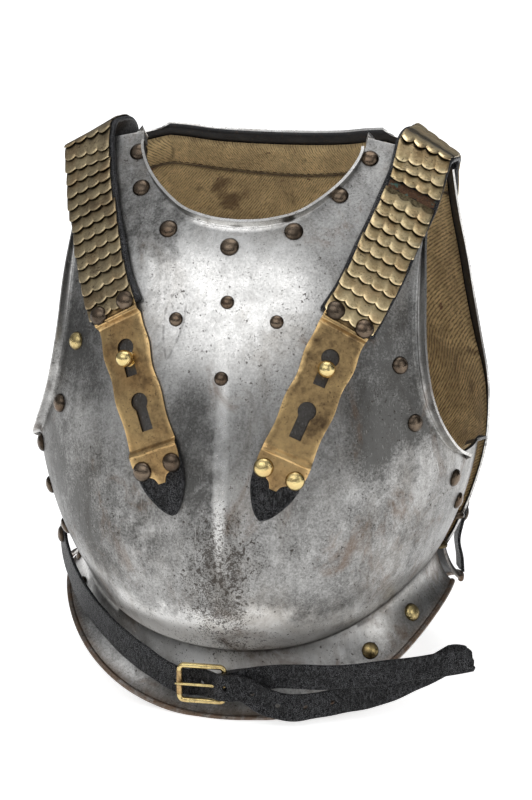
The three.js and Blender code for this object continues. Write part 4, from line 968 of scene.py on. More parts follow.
def leather_material(name, groups, base, worn, grain, depth, roughness, ribbed):
    """Blackened leather with a coarse grain, scuffed along its creases and edges."""
    material, n, shade, place = start_material(name)
    height = n.group(groups["grain"], Vector=place, Scale=grain)["Height"]
    scuff = n.group(groups["mottle"], Vector=place, Scale=45.0)
    ribs = n.noise(n.stretch(place, (1.0, 1.0, 0.42)), 520.0, 4.0, 0.65, 0.6)
    wear = n.times(n.remap(scuff["Tone"], 0.1, 0.9), n.remap(height, 0.6, 0.95))
    wear = n.most(wear, n.times(n.attribute("edge"), n.remap(scuff["Fine"], 0.3, 0.9)))
    wear = n.most(wear, n.times(n.remap(ribs, 0.52, 0.64), ribbed * 0.42))
    level = n.plus(height, n.times(ribs, ribbed))
    shade(Base_Color=n.blend(n.times(wear, 0.7), base, worn),
          Roughness=n.remap(wear, 0.0, 1.0, roughness, roughness + 0.18),
          Specular_IOR_Level=n.remap(level, 0.45 + 0.4 * ribbed, 0.85 + 0.55 * ribbed, 0.14, 0.7),
          Normal=n.bump(level, depth, 0.9))
    return material


def canvas_material(name, groups, base, dark, rust):
    """Old twill: yarns of different tone, grime in broad stains, rust freckles where it met the iron."""
    material, n, shade, place = start_material(name)
    twill = n.group(groups["twill"], Vector=n.attribute("cloth", "Vector"), Pitch=0.0026, Slant=0.8)
    grime = n.group(groups["mottle"], Vector=place, Scale=9.0)
    blots = n.noise(n.stretch(place, (1.0, 1.0, 0.8)), 17.0, 6.0, 0.7, 1.0)
    freckles = n.noise(place, 85.0, 3.0, 0.6)
    tone = n.weighed((twill["Height"], 0.55), (twill["Tone"], 0.45))
    # Near the top the twill is lighter and less mottled; lower down it is darker.
    high = n.remap(n.split(place)[2], 0.33, 0.37)
    share = n.plus(n.remap(tone, 0.2, 0.8), n.times(high, 0.2), clamp=True)
    cloth = n.layers(
        n.blend(share, dark, base),
        (n.times(grime["Fine"], 0.3), dark),
        (n.times(grime["Tone"], n.remap(high, 0.0, 1.0, 0.62, 0.25)), dark),
        (n.remap(blots, 0.54, 0.66, 0.0, 0.75), rust),
        (n.remap(freckles, 0.68, 0.72, 0.0, 0.7), FRECKLE),
        (n.times(n.attribute("edge"), 0.8), SEAM_GRIME))
    level = n.weighed((twill["Height"], 0.8), (n.noise(place, 1500.0, 2.0), 0.3))
    shade(Base_Color=cloth, Roughness=0.95, Sheen_Weight=0.15, Normal=n.bump(level, 0.0006, 0.9))
    return material


def paint_material(name, groups, base):
    """The black paint inside the plates, chipped to brown."""
    material, n, shade, place = start_material(name)
    chips = n.group(groups["mottle"], Vector=place, Scale=60.0)
    shade(Base_Color=n.blend(n.remap(chips["Fine"], 0.7, 1.0, 0.0, 0.7), base, BROWN_SPOT),
          Roughness=n.remap(chips["Tone"], 0.0, 1.0, 0.35, 0.6), Normal=n.bump(chips["Fine"], 0.0002, 0.5))
    return material


def torn_material(name, base, verdigris):
    """Torn hide where a scale is lost: raw brown fibre with green salts from the brass."""
    material, n, shade, place = start_material(name)
    fibre = n.noise(n.stretch(place, (1.0, 1.0, 3.0)), 700.0, 4.0, 0.7)
    blots = n.noise(place, 190.0, 4.0, 0.6)
    raw = n.blend(n.remap(fibre, 0.3, 0.7), RAW_FIBRE, base)
    shade(Base_Color=n.blend(n.remap(blots, 0.56, 0.66, 0.0, 0.85), raw, verdigris), Roughness=0.9,
          Normal=n.bump(fibre, 0.001, 1.0))
    return material


def thread_material(name, base):
    """Dull waxed thread."""
    material, n, shade, place = start_material(name)
    shade(Base_Color=n.blend(n.noise(place, 1400.0, 2.0), THREAD_DIRT, base), Roughness=0.9)
    return material


def floor_material(name):
    """Plain white card: seen by the camera it is white, and it still takes the part's shadow."""
    material, n, shade, place = start_material(name)
    card = n.blend(n.noise(place, 3.0, 2.0), (0.86, 0.86, 0.86, 1), (0.88, 0.88, 0.88, 1))
    rays = n.add("ShaderNodeLightPath").outputs
    seen = n.most(rays["Is Camera Ray"], n.times(rays["Is Glossy Ray"], 0.95))
    away = n.vector("LENGTH", {0: place}, "Value")
    shade(Base_Color=card, Roughness=1.0, Specular_IOR_Level=0.0, Emission_Color=(1, 1, 1, 1),
          Emission_Strength=n.times(seen, n.remap(away, 0.25, 1.3, 0.7, 1.0)))
    return material


def places_tree():
    """Geometry nodes that set a piece on every place: its Z along 'out', its X along 'ahead'."""
    tree = bpy.data.node_groups.new("Pieces on places", "GeometryNodeTree")
    for label, kind in (("Places", "Geometry"), ("Piece", "Object"), ("Tilt", "Float"), ("Size Change", "Float"),
                        ("Seed", "Int"), ("Material", "Material")):
        tree.interface.new_socket(label, in_out="INPUT", socket_type="NodeSocket" + kind)
    tree.interface.new_socket("Geometry", in_out="OUTPUT", socket_type="NodeSocketGeometry")
    n = Nodes(tree)
    given = n.add("NodeGroupInput").outputs
    out, ahead = (n.add("GeometryNodeInputNamedAttribute", {"Name": key}, data_type="FLOAT_VECTOR").outputs[0]
                  for key in ("out", "ahead"))
    upright = n.add("FunctionNodeAlignRotationToVector", {"Vector": out}, axis="Z").outputs[0]
    turned = n.add("FunctionNodeAlignRotationToVector", {"Rotation": upright, "Vector": ahead}, axis="X",
                   pivot_axis="Z").outputs[0]
    tilts = (n.times(given["Tilt"], -1.0), given["Tilt"])
    low, high = (n.add("ShaderNodeCombineXYZ", dict.fromkeys(range(3), tilt)).outputs[0] for tilt in tilts)
    tilt = n.add("FunctionNodeRandomValue", {"Seed": given["Seed"], "Min": low, "Max": high},
                 data_type="FLOAT_VECTOR").outputs[0]
    by = n.add("FunctionNodeEulerToRotation", {"Euler": tilt}).outputs[0]
    rotation = n.add("FunctionNodeRotateRotation", {"Rotation": turned, "Rotate By": by},
                     rotation_space="LOCAL").outputs[0]
    change = given["Size Change"]
    size = n.add("FunctionNodeRandomValue", {2: n.minus(1.0, change), 3: n.plus(1.0, change),
                                             "Seed": given["Seed"]}, data_type="FLOAT").outputs[1]
    piece = n.add("GeometryNodeObjectInfo", {"Object": given["Piece"]}).outputs["Geometry"]
    placed = n.add("GeometryNodeInstanceOnPoints", {"Points": given["Places"], "Instance": piece,
                                                    "Rotation": rotation, "Scale": size}).outputs[0]
    tone = n.add("FunctionNodeRandomValue", {"Seed": n.plus(given["Seed"], 1.0)}, data_type="FLOAT").outputs[1]
    stored = n.add("GeometryNodeStoreNamedAttribute", {"Geometry": placed, "Name": "tone", "Value": tone},
                   data_type="FLOAT", domain="INSTANCE").outputs[0]
    real = n.add("GeometryNodeRealizeInstances", {"Geometry": stored}).outputs[0]
    final = n.add("GeometryNodeSetMaterial", {"Geometry": real, "Material": given["Material"]}).outputs[0]
    n.add("NodeGroupOutput", {"Geometry": final})
    return tree


TOOLS = {}


def on_places(name, places, piece, material, tilt=0.0, size_change=0.0, seed=1):
    """One mesh of a (points, faces, attributes) piece on places of (point, out, ahead)."""
    points, outs, aheads = (np.array(rows, float) for rows in zip(*places))
    mesh = bpy.data.meshes.new(name)
    mesh.from_pydata(((points - MIDDLE) * MM).tolist(), [], [])
    for key, rows in (("out", outs), ("ahead", aheads)):
        mesh.attributes.new(key, "FLOAT_VECTOR", "POINT").data.foreach_set("vector", rows.ravel())
    obj = linked(name, mesh)
    base = mesh_object(name + " base", *piece[:2], attributes=piece[2] if len(piece) > 2 else None, local=True)
    modifier = obj.modifiers.new("Places", "NODES")
    modifier.node_group = TOOLS["places"]
    values = {"Piece": base, "Tilt": tilt, "Size Change": size_change, "Seed": seed, "Material": material}
    for item in TOOLS["places"].interface.items_tree:
        if item.name in values and item.in_out == "INPUT":
            modifier[item.identifier] = values[item.name]
    baked(obj)
    obj.data.set_sharp_from_angle(angle=PIECE_SHARP)
    remove(base)
    return obj


def sizes():
    return bpy.context.scene.cuirass_sizes


def tint(name):
    return (*getattr(bpy.context.scene.cuirass_colours, name), 1.0)


# Brasses: name, bright and dark colour, shine, patina and its scale, spots, and how much raised places are lightened
# by wear (on the scales also a painted highlight).
BRASSES = {
    "hook": ("Brown brass", "brass", "brass_tarnish", 0.32, 1.0, 21.0, 0.32, 0.35),
    "right scales": ("Dark scale brass", "scale_dark", "scale_dark_tarnish", 0.36, 0.7, 70.0, 0.32, 0.7),
    "left scales": ("Pale scale brass", "scale_pale", "scale_pale_tarnish", 0.3, 0.7, 70.0, 0.32, 0.7),
    "aged rivet": ("Aged brass rivets", "brass_bright", "brass_tarnish", 0.2, 0.8, 50.0, 0.22, 0.7),
    "bright brass": ("Bright brass", "brass_bright", "brass", 0.15, 0.45, 70.0, 0.12, 0.7),
    "sleeve": ("Brown sleeve", "brass", "brass_tarnish", 0.35, 0.9, 90.0, 0.32, 0.7),
    "bronze": ("Browned bronze", "bronze_bright", "bronze", 0.17, 0.7, 60.0, 0.22, 0.7),
}
# Leathers: name, the grain's scale and depth, roughness, and how much the hide's ribs show.
LEATHERS = {
    "leather": ("Black leather", 760.0, 0.0022, 0.34, 1.4),
    "strap leather": ("Strap leather", 900.0, 0.0003, 0.42, 0.4),
}


def prepare_materials():
    """Node groups and materials that the pieces share."""
    groups = {"pits": pits_group(), "mottle": mottle_group(), "grain": grain_group(), "twill": twill_group()}
    TOOLS["places"] = places_tree()
    TOOLS["steel"] = steel_material("Old steel", groups, tint("steel_bright"), tint("steel_dark"), tint("rust"))
    TOOLS["paint"] = paint_material("Black paint", groups, tint("paint"))
    for key, (name, bright, dark, *measures) in BRASSES.items():
        TOOLS[key] = brass_material(name, groups, tint(bright), tint(dark), *measures)
    for key, (name, *measures) in LEATHERS.items():
        TOOLS[key] = leather_material(name, groups, tint("leather"), tint("leather_worn"), *measures)
    TOOLS["torn"] = torn_material("Torn hide", tint("torn"), tint("verdigris"))
    TOOLS["canvas"] = canvas_material("Lining twill", groups, tint("canvas"), tint("canvas_dark"), tint("stain"))
    TOOLS["thread"] = thread_material("Linen thread", tint("thread"))
    TOOLS["floor"] = floor_material("White floor")


BARE_LIP_ROWS = 2


def build_plate(name, plate):
    """A plate's sheet, steel outside and painted inside, with the rolled rim of its skirt."""
    outer = plate_grid(plate)
    rows, columns = outer.shape[:2]
    normals, face = -grid_normals(outer) * plate["facing"], face_normals(plate, outer)
    # Where the grid folds over itself, the plate's own normals hold.
    normals = np.where(((normals * face).sum(-1) < -0.2)[..., None], face, normals)
    inner = outer - normals * plate["thickness"]
    rim = tube((outer[0] + inner[0]) / 2, RIM_RADIUS, 14)
    points, faces = joined(sheet(outer, inner), rim)
    points[:, 2] = np.maximum(points[:, 2], 0)
    j, i = np.meshgrid(np.arange(rows), np.arange(columns), indexing="ij")
    lips, necks = len(SLEEVE_LIP), len(NECK_LIP)
    from_side, from_top = np.minimum(i, columns - 1 - i), rows - 1 - j
    edge = np.maximum(1 - from_side / (lips + 0.6), 1 - from_top / (necks + 0.6)).clip(0, 1) ** 0.8
    # The skirt just below the fold is lightened as a painted reflection.
    edge = np.maximum(edge, 0.7 * np.exp(-((j - SKIRT_ROWS + 2) / 1.6) ** 2))
    # Painted shade along the belly just above the waist fold.
    deep = np.exp(-((j - SKIRT_ROWS - 0.9) / 1.4) ** 2)
    rust = (1 - j / 2.5).clip(0, 1)
    values = {key: np.concatenate([twice(grid), np.full(len(rim[0]), on_rim)])
              for key, grid, on_rim in (("edge", edge, 0.0), ("rust", rust, 1.0), ("deep", deep, 0.0))}
    # The inner face is painted, apart from the backplate's turned lip.
    inside = np.ones((rows - 1, columns - 1), int)
    if plate is BACK:
        inside[-BARE_LIP_ROWS:, lips + 1:-lips - 1] = 0
    marks = np.zeros(len(faces), int)
    marks[inside.size:2 * inside.size] = inside.ravel()
    obj = mesh_object(name, points, faces, values, [TOOLS["steel"], TOOLS["paint"]], marks, PLATE_SHARP)
    settle(obj, "shell", "plate_steel", name)


def dome_piece(radius, height, root):
    """A domed head that stands on the origin and reaches down to its root, with painted shade round its foot."""
    turns = np.linspace(0.08, 1, 7) * QUARTER
    head = [(radius * math.cos(a), height * math.sin(a)) for a in turns]
    head[-1] = (0.0, height)
    foot = [(0.0, root), (radius * 0.96, root), (radius, 0.12 * height)]
    points, faces = lathe([*foot, *head], 28)
    reach = np.hypot(points[:, 0], points[:, 1]) / radius
    return points, faces, {"edge": 0.6 * np.clip(1 - reach * 1.25, 0, 1), "deep": 0.8 * smooth(reach, 0.8, 1)}


def plate_places(plate, shares):
    places = []
    for x, z in shares:
        point, normal = on_plate(plate, x, z)
        places.append((point, normal, unit(np.cross(UPRIGHT, normal))))
    return places


def path_place(path, d, lift, sideways=0):
    """A place over a path, with its way out and its way on."""
    point, ahead, out, across = path.frame(d)
    return point + across * sideways + out * lift, out, ahead


def skirt_places(grid, shares):
    """Places on the flared skirt, by row and column of the plate's grid."""
    normals = grid_normals(grid)
    return [(grid[j, i], normals[j, i], unit(grid[j, i + 1] - grid[j, i])) for j, i in shares]


def build_plate_rivets():
    """The domed rivets of both plates, and those that hold the belt's hip tab and the stub."""
    radius, height = sizes().rivet_radius / MM, sizes().rivet_height / MM
    skirt = plate_grid(BREAST)
    front = plate_places(BREAST, BREAST_RIVETS) + skirt_places(skirt, SKIRT_RIVETS)
    brassy = plate_places(BREAST, BRASS_RIVETS) + skirt_places(skirt, BRASS_SKIRT_RIVETS)
    crest = plate_places(BREAST, CREST_RIVETS)
    rear = plate_places(BACK, [[side * x, z] for x, z in BACK_RIVETS for side in (1, -1)])
    belt = [path_place(billet_path(), HIP_RIVET, BELT_THICKNESS + FIT_GAP),
            path_place(stub_path(), STUB_RIVET, REST_GAP + BELT_THICKNESS + FIT_GAP)]
    piece = dome_piece(radius, height, PLATE_ROOT)
    small = dome_piece(radius * CREST_RADIUS_SHARE, height * CREST_HEIGHT_SHARE, PLATE_ROOT)
    broad = dome_piece(BELT_RIVET_RADIUS, BELT_RIVET_HEIGHT, BELT_ROOT)
    bronze, brass = (TOOLS["bronze"], "browned_bronze"), (TOOLS["aged rivet"], "aged_brass")
    # Name, places, head, finish, then tilt in radians, change of size and seed
    for name, places, head, (material, slot), *spread in (
            ("breast_rivets", front, piece, bronze, 0.04, 0.05, 3),
            ("brass_rivets", brassy, piece, brass, 0.04, 0.05, 4),
            ("crest_rivets", crest, small, bronze, 0.04, 0.04, 5),
            ("back_rivets", rear, piece, bronze, 0.04, 0.05, 6),
            ("belt_rivets", belt, broad, bronze, 0.03, 0.0, 7)):
        settle(on_places(name, places, head, material, *spread), "shell", slot)


def lining_folds(s, t, depth, armpit):
    """How far the canvas stands off the plate: slack waves, deepest where it bunches under the arms."""
    slow = np.sin(5.1 * t * 3 + 4 * s) * np.sin(7.3 * s + 1.7 * t)
    drape = np.sin(16 * (t * 0.8 - s * 0.35) + 1.2 * np.sin(6 * s)) * 0.5 + 0.5
    rise = 0.35 + 0.3 * slow + 0.45 * drape
    near = np.exp(-((1 - np.abs(2 * s - 1)) / 0.16) ** 2) * np.exp(-((t - 0.45) / 0.2) ** 2)
    bunch = near * (0.5 + 0.5 * np.sin(34 * (t + 0.25 * np.abs(2 * s - 1)))) * armpit
    calm = smooth(np.minimum(np.minimum(t, 1 - t) * 12, np.minimum(s, 1 - s) * 14), 0, 1)
    return depth * calm * (rise + bunch)


# The lining's reach within the plate's patch, across and up, and the seam of its facing.
LINING_ROWS, LINING_LEFT, LINING_RIGHT, LINING_LOW, LINING_TOP, LINING_SEAM = 120, 0.022, 0.978, 0.02, 0.972, 0.9
# In millimetres: its gap to the plate, its thickness at the hem and what the padding adds, and the stitches' section.
LINING_GAP, HEM_THICKNESS, PADDING = 0.8, 0.7, 2.3
STITCH_RADII = [0.15, 0.3, 0.34, 0.3, 0.15]


def build_lining(name, plate, armpit):
    """The canvas pad inside a plate, faced along its top and stitched through."""
    size = sizes()
    s, t = np.meshgrid(np.linspace(LINING_LEFT, LINING_RIGHT, LINING_ROWS),
                       np.linspace(LINING_LOW, LINING_TOP, LINING_ROWS))
    face = plate_patch(plate, s, t)
    normal = -face_normals(plate, face)
    near = face + normal * (plate["thickness"] + LINING_GAP)
    hem = smooth(t, LINING_SEAM - 0.005, LINING_SEAM) * 0.5
    seam = -0.9 * np.exp(-((t - LINING_SEAM) / 0.0035) ** 2)
    swell = lining_folds((s - LINING_LEFT) / (LINING_RIGHT - LINING_LEFT), t, size.lining_fold / MM, armpit)
    from_ends = np.minimum(t - LINING_LOW, LINING_TOP - t) * 90
    edge_in = smooth(np.minimum(from_ends, np.minimum(s - LINING_LEFT, LINING_RIGHT - s) * 110), 0, 1)
    far = near + normal * (HEM_THICKNESS + PADDING * edge_in + swell + hem + seam)[..., None]
    across, upward = reach_along(face[LINING_ROWS // 2]), reach_along(face[:, LINING_ROWS // 2])
    cloth = np.stack(np.broadcast_arrays(across[None, :], upward[:, None]), -1) * MM
    cloth = np.where((t > LINING_SEAM)[..., None], cloth[..., ::-1] * [1, -1], cloth)
    dark = np.exp(-((t - LINING_SEAM) / 0.005) ** 2) + (1 - edge_in) * 0.5
    obj = mesh_object(name, *sheet(near, far), {"cloth": twice(cloth), "edge": twice(dark)}, [TOOLS["canvas"]],
                      sharp=CLOTH_SHARP)
    settle(obj, "shell", "canvas", name)
    row = int(np.argmin(np.abs(t[:, 0] - LINING_SEAM - 0.005)))
    line, out = far[row], normal[row]
    reach = reach_along(line)
    pitch, half = size.stitch_pitch / MM, size.stitch_length / MM / 2
    places = []
    for d in np.arange(pitch, reach[-1] - pitch, pitch):
        point = read_along(reach, line, d)
        places.append((point, read_along(reach, out, d), unit(read_along(reach, line, d + 1) - point)))
    stitch = tube([[x * half, 0, 0.45 * (1 - x * x) - 0.1] for x in np.linspace(-1, 1, 5)], STITCH_RADII, 6)
    settle(on_places(name.replace("lining", "stitches"), places, stitch, TOOLS["thread"], 0.12, 0.1, 11),
           "shell", "canvas")


def strap_facts(side):
    """A strap's path, and the distances along it of its highest place and of the hook plate's fold."""
    path = strap_path(side)
    d = np.linspace(0, path.length / 2, 401)
    turn = d[int(np.argmax(path.frame(d)[0][:, 2]))]
    return path, turn, path.length - HOOK_LENGTH - TAB_REACH


def ends_round(path, middle, half):
    """The ends of a short way round a distance along a path, in the scene's own metres."""
    return [tuple(((path.frame(middle + d)[0] - MIDDLE) * MM).tolist()) for d in (-half, half)]


def build_strap_leather(side, word):
    """One strap leather from the backplate over the shoulder to the hook plate's fold."""
    path, turn, fold = strap_facts(side)

    def half_width(d):
        return STRAP_WIDTH / 2 + 0.35 * math.sin(d / 9)

    band = leather_band(path, np.linspace(0, fold - HOOK_STEP, 90), half_width, REST_GAP, STRAP_THICKNESS, 1.5, 10)
    obj = mesh_object(f"{word}_strap_leather", *band, materials=[TOOLS["strap leather"]], sharp=LEATHER_SHARP)
    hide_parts(f"{word}_strap", f"{word}_rear_strap")
    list(ends_round(path, turn, 9))
    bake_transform(obj)


def scale_piece(pitch, bulge, slope):
    """A brass scale lying along +X: a thin strip with four rounded lobes along its lower edge."""
    across = np.linspace(-1, 1, SCALE_COLUMNS + 1)
    lobe = np.abs(np.sin(math.pi * 2 * (across + 1))) ** 0.8
    end = pitch + SCALE_LAP - sizes().scallop_depth / MM * (1 - lobe)
    cover = end - pitch
    lines = [np.zeros_like(end), cover * 0.6, cover, cover + 0.7, cover + 1.6, cover + 3.2]
    lines += [cover + 3.2 + (end - cover - 3.2) * w for w in (0.35, 0.6, 0.8, 0.93, 1)]
    rows, edges, deep = [], [], []
    for x in lines:
        way = (x - cover) / (end - cover)
        swell = bulge * (lobe - 0.3) * smooth(way, 0.35, 0.95)
        curl = -0.4 * smooth(way, 0.88, 1)
        side = -0.5 * smooth(np.abs(across), 0.94, 1)
        rows.append(np.stack([x, across * SCALE_WIDTH / 2, slope * x + swell + curl + side], -1))
        # The lobes' lower edges are lighter: worn, and a painted highlight.
        edges.append(smooth(way, 0.82, 0.97) * (0.35 + 0.65 * lobe))
        # Painted shadow under the overlying row's edge, fading down the scale.
        deep.append(np.maximum(1 - smooth(x - cover, 0.5, 2.6), 0.5 * (1 - smooth(x - cover, 0, 9))))
    outer = np.array(rows)
    deep = np.concatenate([np.ravel(deep), np.ones(outer[..., 0].size)])
    return *sheet(outer, outer - [0, 0, SCALE_THICKNESS]), {"edge": twice(edges), "deep": deep}


def bent_rows(name, path, starts, piece, material, way, seed):
    """Rows of scales set on a straight line, then bent along the strap as one mesh."""
    base = SCALE_BASE + SCALE_THICKNESS
    slips = np.random.default_rng(seed).uniform(-SCALE_SLIP, SCALE_SLIP, len(starts))
    places = [((way * d, slip, base), (0, 0, 1), (1, 0, 0)) for d, slip in zip(starts, slips)]
    obj = on_places(name, places, piece, material, SCALE_SWAY, SCALE_SWAY, seed)
    flat = np.empty(len(obj.data.vertices) * 3)
    obj.data.vertices.foreach_get("co", flat)
    flat = flat.reshape(-1, 3) / MM + MIDDLE
    placed = path.place(way * flat[:, 0], -way * flat[:, 1], flat[:, 2])
    obj.data.vertices.foreach_set("co", ((placed - MIDDLE) * MM).ravel())
    obj.data.update()
    return obj


def build_scales(side, word):
    """The rows of scales, one set for each strap, with the torn place where one is lost."""
    path, turn, fold = strap_facts(side)
    start, rear_start = turn + FIT_GAP, turn - FIT_GAP
    pitch, rear_pitch = (fold - HOOK_TAB - start) / FRONT_SCALES, (rear_start - REAR_BARE) / REAR_SCALES
    rows = [k for k in range(FRONT_SCALES + 1) if not (side > 0 and k == MISSING_SCALE)]
    bulge, slot = (LEFT_SWELL, "pale_brass") if side > 0 else (RIGHT_SWELL, "aged_brass")
    material = TOOLS[f"{word} scales"]
    piece = scale_piece(pitch, bulge, SCALE_RISE / pitch)
    front = bent_rows(f"{word}_scales", path, [start + k * pitch for k in rows], piece, material, 1, 21 + side)
    nodes = [f"{word}_scale_{k + 1:02d}" for k in rows if k < FRONT_SCALES]
    settle(front, f"{word}_strap", slot, *nodes)
    piece = scale_piece(rear_pitch, bulge * 0.6, REAR_RISE / rear_pitch)
    starts = [rear_start - k * rear_pitch for k in range(REAR_SCALES)]
    rear = bent_rows(f"{word}_back_scales", path, starts, piece, material, -1, 31 + side)
    settle(rear, "shell", slot, f"{word}_rear_scales")
    if side > 0:
        build_torn_patch(path, start + MISSING_SCALE * pitch, pitch)


def build_torn_patch(path, start, pitch):
    """Torn hide and brass salts in the place of the lost scale."""
    columns, rows = 40, 12
    across = np.linspace(-0.93, 0.93, columns)
    ragged = np.random.default_rng(5).normal(0, 1, (rows, columns))
    grid = []
    for j, way in enumerate(np.linspace(0, 1, rows)):
        d = start + 3 + way * (pitch - 3 + 1.4 * np.sin(across * 9) + 0.5 * ragged[0])
        lift = LEATHER_TOP + 0.15 + 0.55 * math.sin(way * math.pi) * (1 + 0.35 * ragged[j]) + 0.25
        grid.append(path.place(d, across * SCALE_WIDTH / 2, lift))
    outer = np.array(grid)
    hide = sheet(outer, outer - path.frame(start)[2] * 0.9)
    obj = mesh_object("left_torn_hide", *hide, materials=[TOOLS["torn"]], sharp=CLOTH_SHARP)
    settle(obj, "left_strap", "black_leather")


def hook_lift(u):
    """How high the hook plate lies at a distance past its fold."""
    lift = np.where(u < HOOK_STEP, TAB_TOP + (REST_GAP - TAB_TOP) * smooth(u, 0, HOOK_STEP),
                    REST_GAP + (TAIL_TOP - REST_GAP) * smooth(u, HOOK_RIDGE - HOOK_STEP, HOOK_RIDGE))
    beads = [(-1.2, 0.7), (1.0, 0.55), (HOOK_RIDGE + 1.0, 0.8)]
    return lift + sum(h * np.exp(-((u - at) / 0.75) ** 2) for at, h in beads)


def keyhole_cutter(path, d):
    """A cutter for one keyhole: the round hole and the square slot below it."""
    point, ahead, out, across = path.frame(d)
    turns = np.linspace(0, 4 * QUARTER, 40, endpoint=False)
    outline = [(KEY_RADIUS * math.cos(a), KEY_RADIUS * math.sin(a)) for a in turns]
    slot_half = KEY_SLOT / 2
    meet = math.asin(slot_half / KEY_RADIUS)
    outline = [(x, y) for x, y in outline if abs(math.atan2(y, x)) > meet + 0.02]
    outline.sort(key=lambda p: math.atan2(p[1], p[0]) % (4 * QUARTER))
    root = KEY_RADIUS * math.cos(meet)
    outline = [(root, slot_half), *outline, (root, -slot_half), (KEY_LENGTH, -slot_half), (KEY_LENGTH, slot_half)]
    rings = [[point + ahead * x + across * y + out * lift for x, y in outline] for lift in (-4.0, 8.0)]
    return mesh_object("Keyhole cutter", *sweep(rings))


def build_hook_plate(side, word):
    """The bent brass plate with its two keyholes, folded head and bracket-shaped tail."""
    path, _, fold = strap_facts(side)
    u = np.concatenate([np.linspace(-HOOK_TAB, -3, 8), np.linspace(-2.6, HOOK_STEP + 1, 20),
                        np.linspace(HOOK_STEP + 3, HOOK_RIDGE - HOOK_STEP - 1, 44),
                        np.linspace(HOOK_RIDGE - HOOK_STEP, HOOK_RIDGE + 3, 20),
                        np.linspace(HOOK_RIDGE + 4, HOOK_LENGTH, 24)])
    half = HOOK_HALF_WIDTH * along(HOOK_WIDTHS, np.clip(u / HOOK_LENGTH, 0, 1))
    shares = np.array([-1, -0.975, -0.8, -0.55, -0.3, 0, 0.3, 0.55, 0.8, 0.975, 1])
    crown = 0.5 * (1 - shares**2) * 0.6
    drop = -0.25 * (np.abs(shares) == 1)
    outer, inner = (np.array([path.place(fold + d, shares * w, lift + above)
                              for d, w, lift in zip(u, half, hook_lift(u) + thickness)])
                    for thickness, above in ((HOOK_THICKNESS, crown + drop), (0, crown)))
    beads = np.exp(-((u - HOOK_RIDGE - 1) / 1.2) ** 2) + np.exp(-((u + 0.5) / 2.0) ** 2) * 0.6
    edge = np.maximum((np.abs(shares) > 0.97) * 1.0, beads[:, None])
    obj = mesh_object(f"{word}_hook", *sheet(outer, inner), {"edge": twice(edge)}, [TOOLS["hook"]])
    cutters = [keyhole_cutter(path, fold + FIRST_KEY + k * KEY_PITCH) for k in range(2)]
    settle(cut(obj, *cutters), f"{word}_strap", "aged_brass", f"{word}_hook_plate")


def build_hook_rivets(side, word):
    """Four domed rivets that hold the hook plate, and the ball stud that its keyhole hangs on."""
    path, _, fold = strap_facts(side)
    bronze, bright = (TOOLS["bronze"], "browned_bronze"), (TOOLS["bright brass"], "bright_brass")
    head = dome_piece(sizes().hook_rivet_radius / MM, HOOK_RIVET_HEIGHT, HOOK_ROOT)
    for row, u, lift, (material, slot), seed in (
            ("upper", -UPPER_RIVET, TAB_TOP + 1.6, bronze, 41),
            ("lower", LOWER_RIVET, TAIL_TOP, bright if side > 0 else bronze, 42)):
        places = [path_place(path, fold + u, lift + HOOK_THICKNESS, w) for w in (-HOOK_RIVET_INSET, HOOK_RIVET_INSET)]
        settle(on_places(f"{word}_{row}_rivets", places, head, material, 0.05, 0.03, seed), f"{word}_strap", slot,
               f"{word}_{row}_rivet_inner", f"{word}_{row}_rivet_outer")
    waist = math.sqrt(STUD_RADIUS**2 - STUD_SHANK**2)
    turns = np.linspace(-math.asin(waist / STUD_RADIUS), QUARTER, 14)
    ball = [(STUD_RADIUS * math.cos(a), STUD_RISE + STUD_RADIUS * math.sin(a)) for a in turns]
    ball[-1] = (0, STUD_RISE + STUD_RADIUS)
    foot = [(0, -0.8), (STUD_SHANK * 1.5, -0.8), (STUD_SHANK * 1.5, 0.3), (STUD_SHANK, 0.7)]
    points, faces = lathe([*foot, *ball], 32)
    stud = (points, faces, {"edge": np.clip((points[:, 2] - STUD_RISE) / STUD_RADIUS, 0, 1) * 0.6})
    stud_place = path_place(path, fold + FIRST_KEY + STUD_TRAVEL, 0)
    settle(on_places(f"{word}_stud", [stud_place], stud, TOOLS["bright brass"], 0.0, 0.0, 43),
           "shell", "bright_brass", f"{word}_hook_stud")
    anchor = path_place(path, REAR_ANCHOR, LEATHER_TOP + FIT_GAP)
    anchor_head = dome_piece(ANCHOR_RADIUS, BELT_RIVET_HEIGHT, PLATE_ROOT)
    settle(on_places(f"{word}_rear_rivet", [anchor], anchor_head, TOOLS["bronze"], 0.04, 0.0, 44),
           "shell", "browned_bronze", f"{word}_anchor_rivet")


def build_pull_tab(side, word):
    """The pointed leather under the hook plate's tail, with a creased border."""
    path, _, fold = strap_facts(side)
    start = fold + HOOK_RIDGE + HOOK_STEP / 2
    crease_in, crease_width, crease_depth = 3.4, 0.55, 0.45
    rings, wears = [], []
    for way in 1 - (1 - np.linspace(0, 1, 46)) ** 1.25:
        d = start + way * (path.length - start)
        w = TAB_HALF_WIDTH * float(along(TAB_WIDTHS, way))
        ins = np.array([0, 0.25, 0.8, crease_in - crease_width, crease_in, crease_in + crease_width, crease_in + 3])
        ins = np.minimum(ins, w * np.linspace(0, 0.97, len(ins)) + 1e-3 * ins) if w < 8 else ins
        sideways = np.concatenate([-(w - ins), [0], (w - ins)[::-1]])
        depth = np.concatenate([ins, [w], ins[::-1]])
        top = TAB_THICKNESS - 0.9 * np.exp(-(depth / 0.35))
        top = top - crease_depth * np.exp(-((depth - crease_in) / crease_width) ** 2) * min(w / 8, 1)
        upper, lower = path.place(d, sideways, REST_GAP + top), path.place(d, sideways[::-1], REST_GAP)
        rings.append(np.concatenate([upper, lower]))
        wears.append(np.concatenate([np.exp(-(depth / 0.9)), np.zeros(len(sideways))]))
    obj = mesh_object(f"{word}_tab", *sweep(rings), {"edge": np.ravel(wears)}, [TOOLS["leather"]], sharp=TAB_SHARP)
    settle(obj, f"{word}_strap", "black_leather", f"{word}_pull_tab")


